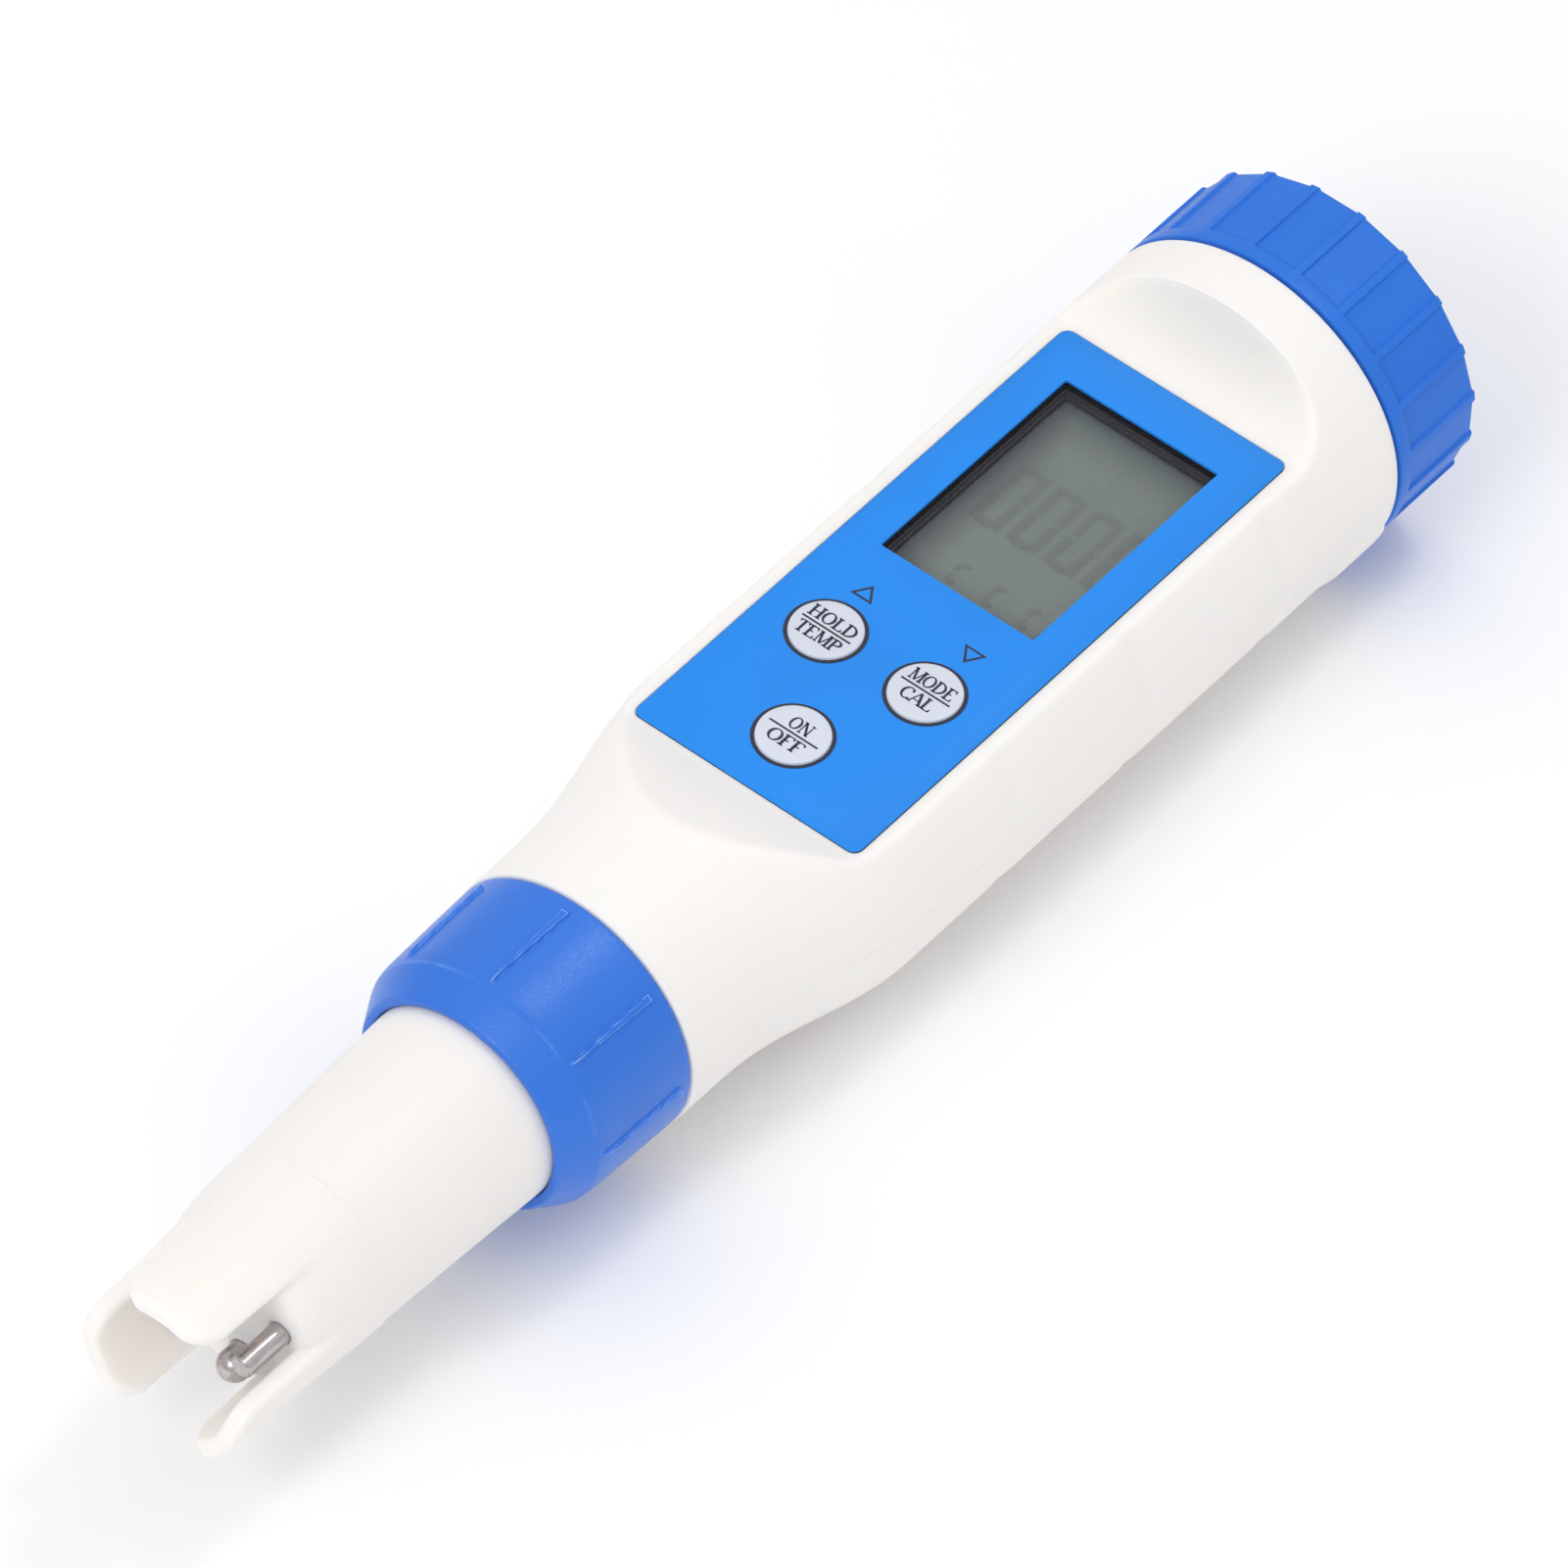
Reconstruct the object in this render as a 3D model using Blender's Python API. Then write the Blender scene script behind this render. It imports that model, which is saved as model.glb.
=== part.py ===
"""A pen-shaped pH meter: white tube body, blue battery cap and collar nut, replaceable electrode.

The pen lies on its back along X, with the electrode's tip at -X, the battery cap at +X and the
display facing +Z. The world origin is under the middle of the pen, on the surface it lies on.
Every piece is a child of one empty on the pen's axis, at the seam between the body and the cap,
so lengths along the pen are measured from that seam: negative towards the tip. Clock angles
round the pen run from -Y (0 degrees) over the display side (+Z, 90 degrees). All in metres.
"""

import math

import bmesh
import bpy
from mathutils import Matrix, Vector

# Overall
BODY_RADIUS = 0.0190
CAP_LENGTH = 0.0128
TIP_X = -0.1690
BACK_PAD_RADIUS = 0.0194
PEN_LENGTH = CAP_LENGTH - TIP_X
SEAM_X = PEN_LENGTH / 2 - CAP_LENGTH
AXIS_Z = BACK_PAD_RADIUS
GAP = 0.0003
EDGE = 0.0003

# Body tube
NECK_RADIUS = 0.0152
COLLAR_BACK_X = -0.1071
NECK_END_X = -0.1153
FLARE_START_X = -0.1015
FLARE_END_X = -0.0755
FLARE_EASE = 1.2
WALL = 0.0022
NECK_BORE = 0.0110
MOUTH_BORE = 0.0136
MOUTH_END_X = 0.0082
MOUTH_BORE_X = -0.0047
CHAMBER_CORNER_X = (-0.0050, -0.0042)
CEILING_Z = 0.0088
SIDE_DIP_X = (-0.0612, -0.0408, -0.0192)
SIDE_DIP_DEPTH = 0.00025
SIDE_DIP_HALF = 0.0022
SIDE_DIP_STARTS = (-40, 140)
SIDE_DIP_SWEEP = 80.0
BACK_PAD_X = (-0.0082, -0.0068, -0.0018, -0.0009)
BACK_PAD_FOOT = 0.0006
BACK_PAD_START = -166.0
BACK_PAD_SWEEP = 152.0
CUT_CLEARANCE = 0.001

# Display land, label and window
LAND_Z = 0.01044
LAND_TIP_X = -0.0819
LAND_TIP_CREST = (-0.0936, 0.0160)
LAND_CAP_X = -0.0133
LAND_CAP_RUN = 0.0066
RAMP_BULGE = 0.0006
LABEL_X = (-0.0814, -0.0130)
LABEL_HALF_Y = 0.0142
LABEL_CORNER = 0.0009
LABEL_MARGIN = 0.00015
LABEL_RECESS = 0.00055
LABEL_BOTTOM_Z = 0.01015
LABEL_TOP_Z = 0.01054
WINDOW_X = (-0.0481, -0.0186)
WINDOW_HALF_Y = 0.0097
WINDOW_BOTTOM_Z = 0.0100
WINDOW_INSET = 0.0001
WINDOW_CORNER = 0.0003
OPENING_MARGIN = 0.0005
GASKET_Z = (0.00835, 0.0098)
GASKET_OUTSET = 0.0003
GASKET_INSET = 0.0004
LCD_TOP_Z = 0.0082
LCD_THICKNESS = 0.0018
LCD_OVERHANG = 0.0017
LCD_HALF_Y = 0.0110
ZEBRA_Y = 0.0100
ZEBRA_HALF = 0.0008

# Buttons: name, centre x, centre y
BUTTONS = (("power", -0.0734, 0.0002), ("hold", -0.0606, 0.0065), ("mode", -0.0606, -0.0061))
BUTTON_RADIUS = 0.00385
BUTTON_TOP_Z = 0.0109
BUTTON_HOLE_MARGIN = 0.0002
BUTTON_FLANGE_RADIUS = 0.0047
BUTTON_FLANGE_Z = (0.0079, 0.0085)
BUTTON_STEM_RADIUS = 0.0015
BUTTON_STEM_Z = 0.00725
PLUNGER_RADIUS = 0.0013
PLUNGER_Z = (0.0052, 0.0070)
SWITCH_HALF = 0.0030
SWITCH_TOP_Z = 0.0062
SWITCH_BORE = 0.0016

# Threads shared by the cap and the collar nut
PITCH = 0.0030
THREAD_TURNS = 1.75
RIDGE_HEIGHT = 0.0009
RIDGE_FOOT = 0.0006
RIDGE_CREST = 0.0003
RIDGE_SINK = 0.0003
RIDGE_END_SHARE = 0.35
CAP_THREAD_ROOT = 0.0154
CAP_BORE = 0.0167
NUT_THREAD_ROOT = 0.0123
NUT_BORE = 0.0136
CAP_THREAD_X = 0.0023
NUT_THREAD_X = -0.1142

# Battery cap
CAP_RIBS = 20
RIB_HALF_ANGLE = math.radians(1.6)
RIB_FLANK_ANGLE = math.radians(0.5)
PANEL_DEPTH = 0.0005
RIM_BAND = 0.0019
CAP_INNER_END_X = 0.0109
STUD_X = (0.0084, 0.0090, 0.0112)
STUD_HEAD_RADIUS = 0.0024
STUD_NECK_RADIUS = 0.0015

# Collar nut
COLLAR_FRONT_X = -0.1241
COLLAR_SHOULDER_X = -0.1205
COLLAR_MOUTH = 0.0118
COLLAR_BACK_RADIUS = 0.01505
COLLAR_RIBS = 8
COLLAR_RIB_FRONT = (-0.1206, 0.01455, 0.00012)
COLLAR_RIB_BACK = (-0.1085, 0.01500, 0.00042)
COLLAR_RIB_HEIGHT = 0.00022
COLLAR_RIB_FOOT = 0.0004

# Electrode
ELECTRODE_RADIUS_TIP = 0.0100
ELECTRODE_RADIUS_COLLAR = 0.0115
CORE_FACE_X = -0.1581
CORE_BACK_X = -0.1520
GUARD_BORE = 0.0079
TINE_ANGLES = (88.3, 208.3, 328.3)
SLOT_HALF_ANGLE = 24.0
HOLLOW_RADIUS = 0.0090
SPIGOT_RADIUS = 0.0106
FLANGE_RADIUS = 0.0123
FLANGE_X = (-0.1180, -0.1156)
SPIGOT_END_X = -0.1060
GROOVE_X = (-0.1122, -0.1104)
GROOVE_DEPTH = 0.0010
PIN_X = (-0.1639, -0.1480)
PIN_CHAMFER = 0.0003
PIN_RADIUS = 0.00125
PIN_PLACES = (("1", 13, 0.00625), ("2", 109, 0.00625))
PROBE_PLACE = (304, 0.00465)
PROBE_RADIUS = 0.0018
PROBE_X = (-0.1624, -0.1420)
PROBE_BOSS = (0.0029, 0.0022)
BULB_PLACE = (196, 0.0042)
BULB_RADIUS = 0.0032
BULB_X = -0.1600
GLASS_WALL = 0.0005
STEM_RADIUS = 0.0029
STEM_END_X = -0.1150
WIRE_RADIUS = 0.0003
WIRE_END_X = -0.1100
JUNCTION_PLACE = (61, 0.0025)
JUNCTION_RADIUS = 0.0012
CONTACT_COUNT = 6
CONTACT_CIRCLE = 0.0055
CONTACT_RADIUS = 0.00045
CONTACT_X = (-0.1092, -0.1014)
PLUG_X = (-0.1080, -0.1063)
SOCKET_X = (-0.1053, -0.0982)
SOCKET_RADIUS = 0.0084

# Inside the body
BOARD_X = (-0.0975, -0.0100)
BOARD_HALF_Y = 0.0112
BOARD_Z = (0.0026, 0.0042)
ON_BOARD_Z = BOARD_Z[1] + 0.0002
CHASSIS_X = (-0.0540, -0.0125)
CHASSIS_Z = (0.0014, 0.0023)
CHASSIS_HALF_Y = 0.0136
CHASSIS_RAIL = 0.0012
CHASSIS_RAIL_TOP_Z = 0.0078
TONGUE_X = (-0.0890, -0.0535)
TONGUE_HALF_Y = 0.0114
CHIP_X = (-0.0505, -0.0435)
CHIP_HALF_Y = 0.0035
CHIP_TOP_Z = 0.0056
RADIO_X = (-0.0915, -0.0810)
RADIO_HALF_Y = 0.0060
RADIO_TOP_Z = 0.0062
SCREW_X = (-0.0860, -0.0120)
SCREW_Y = 0.0090
SCREW_RADIUS = 0.0013
SCREW_HEIGHT = 0.0010
TRAY_Z = -0.0059
TRAY_RADIUS = 0.0070
TRAY_BORE = 0.0061
TRAY_X = (-0.0225, 0.0076)
CELL_RADIUS = 0.0058
CELL_LENGTH = 0.0054
CELL_COUNT = 4
CELL_START_X = -0.0163
CELL_GAP = 0.0001
CELL_POLE = 0.0011
SPRING_WIRE = 0.00035
SPRING_TURNS = 2.5
SPRING_RADII = (0.0045, 0.0027)
STRIP_X = (-0.0115, 0.0090)
STRIP_Z = (0.0045, 0.0049)
STRIP_HALF_Y = 0.0020
STRIP_TAB_X = (0.0086, 0.00895)
STRIP_TAB_TOP_Z = 0.0085
O_RING_THICKNESS = 0.00050
CAP_O_RING = (0.0010, 0.0160)
ELECTRODE_O_RING = (-0.1113, 0.01035)
DISC_X = (0.0094, 0.0100)
DISC_RADIUS = 0.0130
DISC_HOLE = 0.0019
DISC_BOSS_X = 0.0060
DISC_BOSS_RADIUS = 0.0025

# Colours, linear RGB
WHITE = (0.89, 0.88, 0.85)
CAP_BLUE = (0.045, 0.16, 0.68)
LABEL_BLUE = (0.035, 0.24, 0.86)
PALE_KEY = (0.63, 0.68, 0.80)
NAVY = (0.02, 0.025, 0.05)
LCD_GREY = (0.20, 0.23, 0.20)
BOARD_GREEN = (0.03, 0.18, 0.07)
STEEL = (0.55, 0.52, 0.50)
BRASS = (0.70, 0.52, 0.24)
GLASS = (0.80, 0.86, 0.88)
NYLON_GREY = (0.12, 0.12, 0.13)
CHIP_BLACK = (0.02, 0.02, 0.02)
CERAMIC = (0.85, 0.82, 0.75)
SILVER = (0.75, 0.75, 0.76)
GOLD = (0.83, 0.62, 0.25)


def clear_scene():
    for obj in list(bpy.data.objects):
        bpy.data.objects.remove(obj, do_unlink=True)


def finish_of(name, colour, roughness, metallic=0.0):
    """The Principled material of this name, made once."""
    material = bpy.data.materials.get(name)
    if material is None:
        material = bpy.data.materials.new(name)
        material.use_nodes = True
        shader = material.node_tree.nodes["Principled BSDF"]
        shader.inputs["Base Color"].default_value = (*colour, 1.0)
        shader.inputs["Roughness"].default_value = roughness
        shader.inputs["Metallic"].default_value = metallic
        material.diffuse_color = (*colour, 1.0)
    return material


def piece(name, bm, material, location=(0, 0, 0), smooth=35):
    """An object on the pen's axis made from a bmesh, with its faces turned outwards."""
    bmesh.ops.remove_doubles(bm, verts=bm.verts, dist=1e-7)
    bmesh.ops.recalc_face_normals(bm, faces=bm.faces)
    mesh = bpy.data.meshes.new(name)
    bm.to_mesh(mesh)
    bm.free()
    mesh.shade_smooth()
    mesh.set_sharp_from_angle(angle=math.radians(smooth))
    obj = bpy.data.objects.new(name, mesh)
    bpy.context.scene.collection.objects.link(obj)
    obj.parent = bpy.data.objects["pen_axis"]
    obj.location = location
    if material is None:
        obj.hide_render = True
        obj.display_type = "WIRE"
    else:
        mesh.materials.append(material)
    return obj


def cutter(name, bm):
    return piece(name, bm, None)


def boolean(obj, other, operation):
    modifier = obj.modifiers.new(other.name, "BOOLEAN")
    modifier.operation = operation
    modifier.object = other
    modifier.solver = "EXACT"


def clock(angle, radius):
    """Y and Z of a point at a clock angle in degrees, at a distance from the pen's axis."""
    turn = math.radians(angle)
    return -radius * math.cos(turn), radius * math.sin(turn)


def add_turned(bm, outline, segments, centre=(0.0, 0.0), start=0.0, sweep=360.0):
    """Turns an outline of (x, radius) points about a line along X; a closed ring has no axis point."""
    first = Vector((0, *clock(start, 1.0)))
    points = [Vector((x, centre[0], centre[1])) + first * radius for x, radius in outline]
    verts = [bm.verts.new(point) for point in points]
    pairs = list(zip(range(len(outline)), list(range(1, len(outline))) + [0]))
    edges = [
        bm.edges.new((verts[a], verts[b]))
        for a, b in pairs
        if outline[a][1] > 0 or outline[b][1] > 0
    ]
    full = sweep == 360.0
    if not full:
        bm.faces.new(verts)
    made = bmesh.ops.spin(
        bm,
        geom=verts + edges,
        cent=(0, *centre),
        axis=(-1, 0, 0),
        angle=math.radians(sweep),
        steps=segments,
        use_merge=full,
    )
    if not full:
        last = [item for item in made["geom_last"] if isinstance(item, bmesh.types.BMVert)]
        bm.faces.new(last)
    bmesh.ops.remove_doubles(bm, verts=bm.verts, dist=1e-7)


def turned(name, outline, material, segments=32, centre=(0.0, 0.0)):
    bm = bmesh.new()
    add_turned(bm, outline, segments, centre)
    return piece(name, bm, material)


def rod_outline(x0, x1, radius, chamfer=0.0):
    if chamfer == 0.0:
        return [(x0, 0), (x0, radius), (x1, radius), (x1, 0)]
    inner = radius - chamfer
    return [(x0, 0), (x0, inner), (x0 + chamfer, radius), (x1 - chamfer, radius), (x1, inner), (x1, 0)]


def add_box(bm, low, high):
    size = [b - a for a, b in zip(low, high)]
    middle = [(a + b) / 2 for a, b in zip(low, high)]
    matrix = Matrix.Translation(middle) @ Matrix.Diagonal((*size, 1.0))
    return bmesh.ops.create_cube(bm, size=1.0, matrix=matrix)["verts"]


def box(name, low, high, material, bevel=0.0):
    bm = bmesh.new()
    add_box(bm, low, high)
    if bevel:
        bmesh.ops.bevel(bm, geom=bm.edges[:], offset=bevel, segments=1, affect="EDGES")
    return piece(name, bm, material)


def add_prism(bm, outline, z0, z1):
    """Raises a flat outline of (x, y) points from z0 to z1."""
    floor = [bm.verts.new((x, y, z0)) for x, y in outline]
    face = bm.faces.new(floor)
    top = bmesh.ops.extrude_face_region(bm, geom=[face])["geom"]
    moved = [item for item in top if isinstance(item, bmesh.types.BMVert)]
    bmesh.ops.translate(bm, verts=moved, vec=(0, 0, z1 - z0))


def circle(centre, radius, steps, start=0.0, sweep=math.tau):
    count = steps if sweep == math.tau else steps + 1
    turns = [start + sweep * i / steps for i in range(count)]
    return [(centre[0] + radius * math.cos(t), centre[1] + radius * math.sin(t)) for t in turns]


def rounded_rectangle(x_range, half_y, radius, steps=3):
    outline = []
    corners = ((1, 1), (-1, 1), (-1, -1), (1, -1))
    for index, (side_x, side_y) in enumerate(corners):
        x = (x_range[1] if side_x > 0 else x_range[0]) - side_x * radius
        y = side_y * (half_y - radius)
        outline += circle((x, y), radius, steps, index * math.pi / 2, math.pi / 2)
    return outline


def ring_loop(bm, x, radii):
    """A ring of vertices round the pen's axis, at evenly spaced or listed (angle, radius) pairs."""
    return [bm.verts.new((x, -r * math.cos(a), r * math.sin(a))) for a, r in radii]


def bridge(bm, ring_a, ring_b):
    count = len(ring_a)
    for i in range(count):
        j = (i + 1) % count
        bm.faces.new((ring_a[i], ring_a[j], ring_b[j], ring_b[i]))


def add_helix(bm, start_x, root, height, turns, outward):
    """A right-hand thread ridge: a trapezoid swept along a helix, its foot sunk into its wall."""
    steps = round(24 * turns)
    sign = 1 if outward else -1
    foot = ((-RIDGE_FOOT, -RIDGE_SINK), (RIDGE_FOOT, -RIDGE_SINK))
    section = (foot[0], (-RIDGE_CREST, height), (RIDGE_CREST, height), foot[1])
    loops = []
    for i in range(steps + 1):
        share = i / steps
        angle = -math.tau * turns * share
        run_out = min(1.0, 4 * share, 4 * (1 - share))
        x = start_x + PITCH * turns * share
        loop = []
        for along, up in section:
            rise = up * (RIDGE_END_SHARE + (1 - RIDGE_END_SHARE) * run_out) if up > 0 else up
            radius = root + sign * rise
            loop.append(bm.verts.new((x + along, -radius * math.cos(angle), radius * math.sin(angle))))
        loops.append(loop)
    for a, b in zip(loops, loops[1:]):
        bridge(bm, a, b)
    bm.faces.new(loops[0])
    bm.faces.new(loops[-1])


def thread(obj, start_x, root, outward):
    bm = bmesh.new()
    add_helix(bm, start_x, root, RIDGE_HEIGHT, THREAD_TURNS, outward)
    ridge = cutter(obj.name + "_thread", bm)
    boolean(obj, ridge, "UNION")


def flare_radius(x):
    """Outer radius of the body between its neck and its full width."""
    share = (x - FLARE_START_X) / (FLARE_END_X - FLARE_START_X)
    share = min(max(share, 0.0), 1.0) ** FLARE_EASE
    return NECK_RADIUS + (BODY_RADIUS - NECK_RADIUS) * (3 * share**2 - 2 * share**3)


def flare_outline(inset, steps=7):
    xs = [FLARE_START_X + (FLARE_END_X - FLARE_START_X) * i / steps for i in range(steps + 1)]
    return [(x, flare_radius(x) - inset) for x in xs]


def land_cutter():
    """Removes what stands above the display land: a flat with a ramp to the neck and a scoop to the cap."""
    crest_x, crest_z = LAND_TIP_CREST
    run_x = LAND_TIP_X - crest_x
    rise = crest_z - LAND_Z
    above = BODY_RADIUS + CUT_CLEARANCE
    outline = [(crest_x - run_x / 4, above), (crest_x - run_x / 4, crest_z + rise / 4), (crest_x, crest_z)]
    for i in range(1, 7):
        share = i / 6
        bulge = RAMP_BULGE * math.sin(math.pi * share)
        outline.append((crest_x + run_x * share, crest_z - rise * share + bulge))
    drop = BODY_RADIUS - LAND_Z
    for i in range(9):
        turn = math.pi / 2 * i / 8
        x = LAND_CAP_X + LAND_CAP_RUN * math.sin(turn)
        outline.append((x, BODY_RADIUS - drop * math.cos(turn)))
    outline.append((LAND_CAP_X + LAND_CAP_RUN, above))
    half = BODY_RADIUS + CUT_CLEARANCE
    bm = bmesh.new()
    side = [bm.verts.new((x, -half, z)) for x, z in outline]
    face = bm.faces.new(side)
    far = bmesh.ops.extrude_face_region(bm, geom=[face])["geom"]
    moved = [item for item in far if isinstance(item, bmesh.types.BMVert)]
    bmesh.ops.translate(bm, verts=moved, vec=(0, 2 * half, 0))
    return cutter("land_cutter", bm)


def cavity_cutter():
    """The body's hollow: a bore under a flat ceiling, with round mouths for the electrode and the cap."""
    bm = bmesh.new()
    chamber = [(FLARE_START_X, 0), (FLARE_START_X, NECK_RADIUS - WALL)]
    chamber += flare_outline(WALL, 4)[1:]
    corner_x, end_x = CHAMBER_CORNER_X
    chamber += [(corner_x, BODY_RADIUS - WALL), (end_x, MOUTH_BORE), (end_x, 0)]
    add_turned(bm, chamber, 28)
    low = bmesh.ops.bisect_plane(
        bm,
        geom=bm.verts[:] + bm.edges[:] + bm.faces[:],
        plane_co=(0, 0, CEILING_Z),
        plane_no=(0, 0, 1),
        clear_outer=True,
    )
    rim = [item for item in low["geom_cut"] if isinstance(item, bmesh.types.BMEdge)]
    bmesh.ops.edgeloop_fill(bm, edges=rim)
    return cutter("cavity_cutter", bm)


def bore_cutter():
    bm = bmesh.new()
    neck = rod_outline(NECK_END_X - CUT_CLEARANCE, FLARE_START_X + CUT_CLEARANCE, NECK_BORE)
    mouth = rod_outline(MOUTH_BORE_X, MOUTH_END_X + CUT_CLEARANCE, MOUTH_BORE - 0.0002)
    add_turned(bm, neck, 28)
    add_turned(bm, mouth, 28)
    return cutter("bore_cutter", bm)


def face_openings_cutter():
    """The label's recess, the window and the key holes."""
    bm = bmesh.new()
    recess_x = (LABEL_X[0] - LABEL_MARGIN, LABEL_X[1] + LABEL_MARGIN)
    recess = rounded_rectangle(recess_x, LABEL_HALF_Y + LABEL_MARGIN, LABEL_CORNER + LABEL_MARGIN)
    add_prism(bm, recess, LAND_Z - LABEL_RECESS, LAND_Z + CUT_CLEARANCE)
    recess_cutter = cutter("recess_cutter", bm)
    low, high = CEILING_Z - CUT_CLEARANCE, LAND_Z + CUT_CLEARANCE / 2
    opening_x = (WINDOW_X[0] - OPENING_MARGIN, WINDOW_X[1] + OPENING_MARGIN)
    bm = bmesh.new()
    add_prism(bm, rounded_rectangle(opening_x, WINDOW_HALF_Y + OPENING_MARGIN, OPENING_MARGIN), low, high)
    for _, x, y in BUTTONS:
        add_prism(bm, circle((x, y), BUTTON_RADIUS + BUTTON_HOLE_MARGIN, 20), low, high)
    return recess_cutter, cutter("opening_cutter", bm)


def side_dip_cutter():
    """Shallow bands cut across both flanks for grip, each a thin disc sector of a larger radius."""
    bm = bmesh.new()
    half = SIDE_DIP_HALF
    floor = BODY_RADIUS - SIDE_DIP_DEPTH
    lip = BODY_RADIUS + 2 * SIDE_DIP_DEPTH
    for x in SIDE_DIP_X:
        outline = [(x - half, lip), (x - half / 3, floor), (x + half / 3, floor), (x + half, lip)]
        for start in SIDE_DIP_STARTS:
            add_turned(bm, outline, 5, start=start, sweep=SIDE_DIP_SWEEP)
    return cutter("side_dip_cutter", bm)


def back_pad():
    """A low pad round the back of the body beside the cap."""
    foot = BODY_RADIUS - BACK_PAD_FOOT
    start_x, crest_start_x, crest_end_x, end_x = BACK_PAD_X
    outline = [
        (start_x, foot),
        (start_x, BODY_RADIUS + 0.0001),
        (crest_start_x, BACK_PAD_RADIUS),
        (crest_end_x, BACK_PAD_RADIUS),
        (end_x, BODY_RADIUS - 0.0002),
        (end_x, foot),
    ]
    bm = bmesh.new()
    add_turned(bm, outline, 16, start=BACK_PAD_START, sweep=BACK_PAD_SWEEP)
    return cutter("back_pad", bm)


def make_body_shell(plastic):
    outline = [(NECK_END_X, 0), (NECK_END_X, NUT_THREAD_ROOT - EDGE), (NECK_END_X + EDGE, NUT_THREAD_ROOT)]
    outline += [(COLLAR_BACK_X + GAP, NUT_THREAD_ROOT), (COLLAR_BACK_X + GAP, NECK_RADIUS - 0.0002)]
    outline += [(COLLAR_BACK_X + 2 * GAP, NECK_RADIUS)]
    outline += flare_outline(0.0)
    outline += [
        (-0.0005, BODY_RADIUS),
        (-0.0001, BODY_RADIUS - 0.0004),
        (-0.0001, CAP_THREAD_ROOT - 0.0002),
        (0.0020, CAP_THREAD_ROOT - 0.0002),
        (0.0021, CAP_THREAD_ROOT),
        (MOUTH_END_X - EDGE, CAP_THREAD_ROOT),
        (MOUTH_END_X, CAP_THREAD_ROOT - EDGE),
        (MOUTH_END_X, 0),
    ]
    shell = turned("body_shell", outline, plastic, 40)
    boolean(shell, land_cutter(), "DIFFERENCE")
    boolean(shell, cavity_cutter(), "DIFFERENCE")
    boolean(shell, bore_cutter(), "DIFFERENCE")
    for opening in face_openings_cutter():
        boolean(shell, opening, "DIFFERENCE")
    boolean(shell, side_dip_cutter(), "DIFFERENCE")
    boolean(shell, back_pad(), "UNION")
    thread(shell, NUT_THREAD_X, NUT_THREAD_ROOT, True)
    thread(shell, CAP_THREAD_X, CAP_THREAD_ROOT, True)


def make_face():
    """The printed label with its window lens, the gasket behind it and the display's glass."""
    label = finish_of("label_film", LABEL_BLUE, 0.45)
    dark_rubber = finish_of("black_rubber", NAVY, 0.7)
    low, high = LABEL_BOTTOM_Z - CUT_CLEARANCE, LABEL_TOP_Z + CUT_CLEARANCE
    bm = bmesh.new()
    add_prism(bm, rounded_rectangle(LABEL_X, LABEL_HALF_Y, LABEL_CORNER), LABEL_BOTTOM_Z, LABEL_TOP_Z)
    film = piece("face_label", bm, label)
    bm = bmesh.new()
    add_prism(bm, rounded_rectangle(WINDOW_X, WINDOW_HALF_Y, WINDOW_CORNER), low, high)
    for _, x, y in BUTTONS:
        add_prism(bm, circle((x, y), BUTTON_RADIUS + 0.0003, 20), low, high)
    boolean(film, cutter("label_openings", bm), "DIFFERENCE")

    window = window_outline(-WINDOW_INSET, WINDOW_CORNER)
    bm = bmesh.new()
    add_prism(bm, window, WINDOW_BOTTOM_Z, LABEL_TOP_Z - 0.0001)
    piece("lcd_window", bm, finish_of("clear_window", GLASS, 0.05))

    bm = bmesh.new()
    add_prism(bm, window_outline(GASKET_OUTSET, 0.0005), *GASKET_Z)
    gasket = piece("lcd_gasket", bm, dark_rubber)
    bm = bmesh.new()
    inner = window_outline(-GASKET_INSET, WINDOW_CORNER)
    add_prism(bm, inner, GASKET_Z[0] - CUT_CLEARANCE, GASKET_Z[1] + CUT_CLEARANCE)
    boolean(gasket, cutter("gasket_opening", bm), "DIFFERENCE")

    low = (WINDOW_X[0] - LCD_OVERHANG, -LCD_HALF_Y, LCD_TOP_Z - LCD_THICKNESS)
    high = (WINDOW_X[1] + LCD_OVERHANG, LCD_HALF_Y, LCD_TOP_Z)
    box("lcd_glass", low, high, finish_of("lcd_face", LCD_GREY, 0.15), 0.0002)
    for side, y in (("left", -ZEBRA_Y), ("right", ZEBRA_Y)):
        strip_low = (low[0] + 0.001, y - ZEBRA_HALF, ON_BOARD_Z)
        strip_high = (high[0] - 0.001, y + ZEBRA_HALF, low[2] - 0.0002)
        box("zebra_strip_" + side, strip_low, strip_high, dark_rubber, 0.0001)


def window_outline(outset, corner):
    """The window's outline grown on every side by outset."""
    return rounded_rectangle((WINDOW_X[0] - outset, WINDOW_X[1] + outset), WINDOW_HALF_Y + outset, corner)


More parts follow.
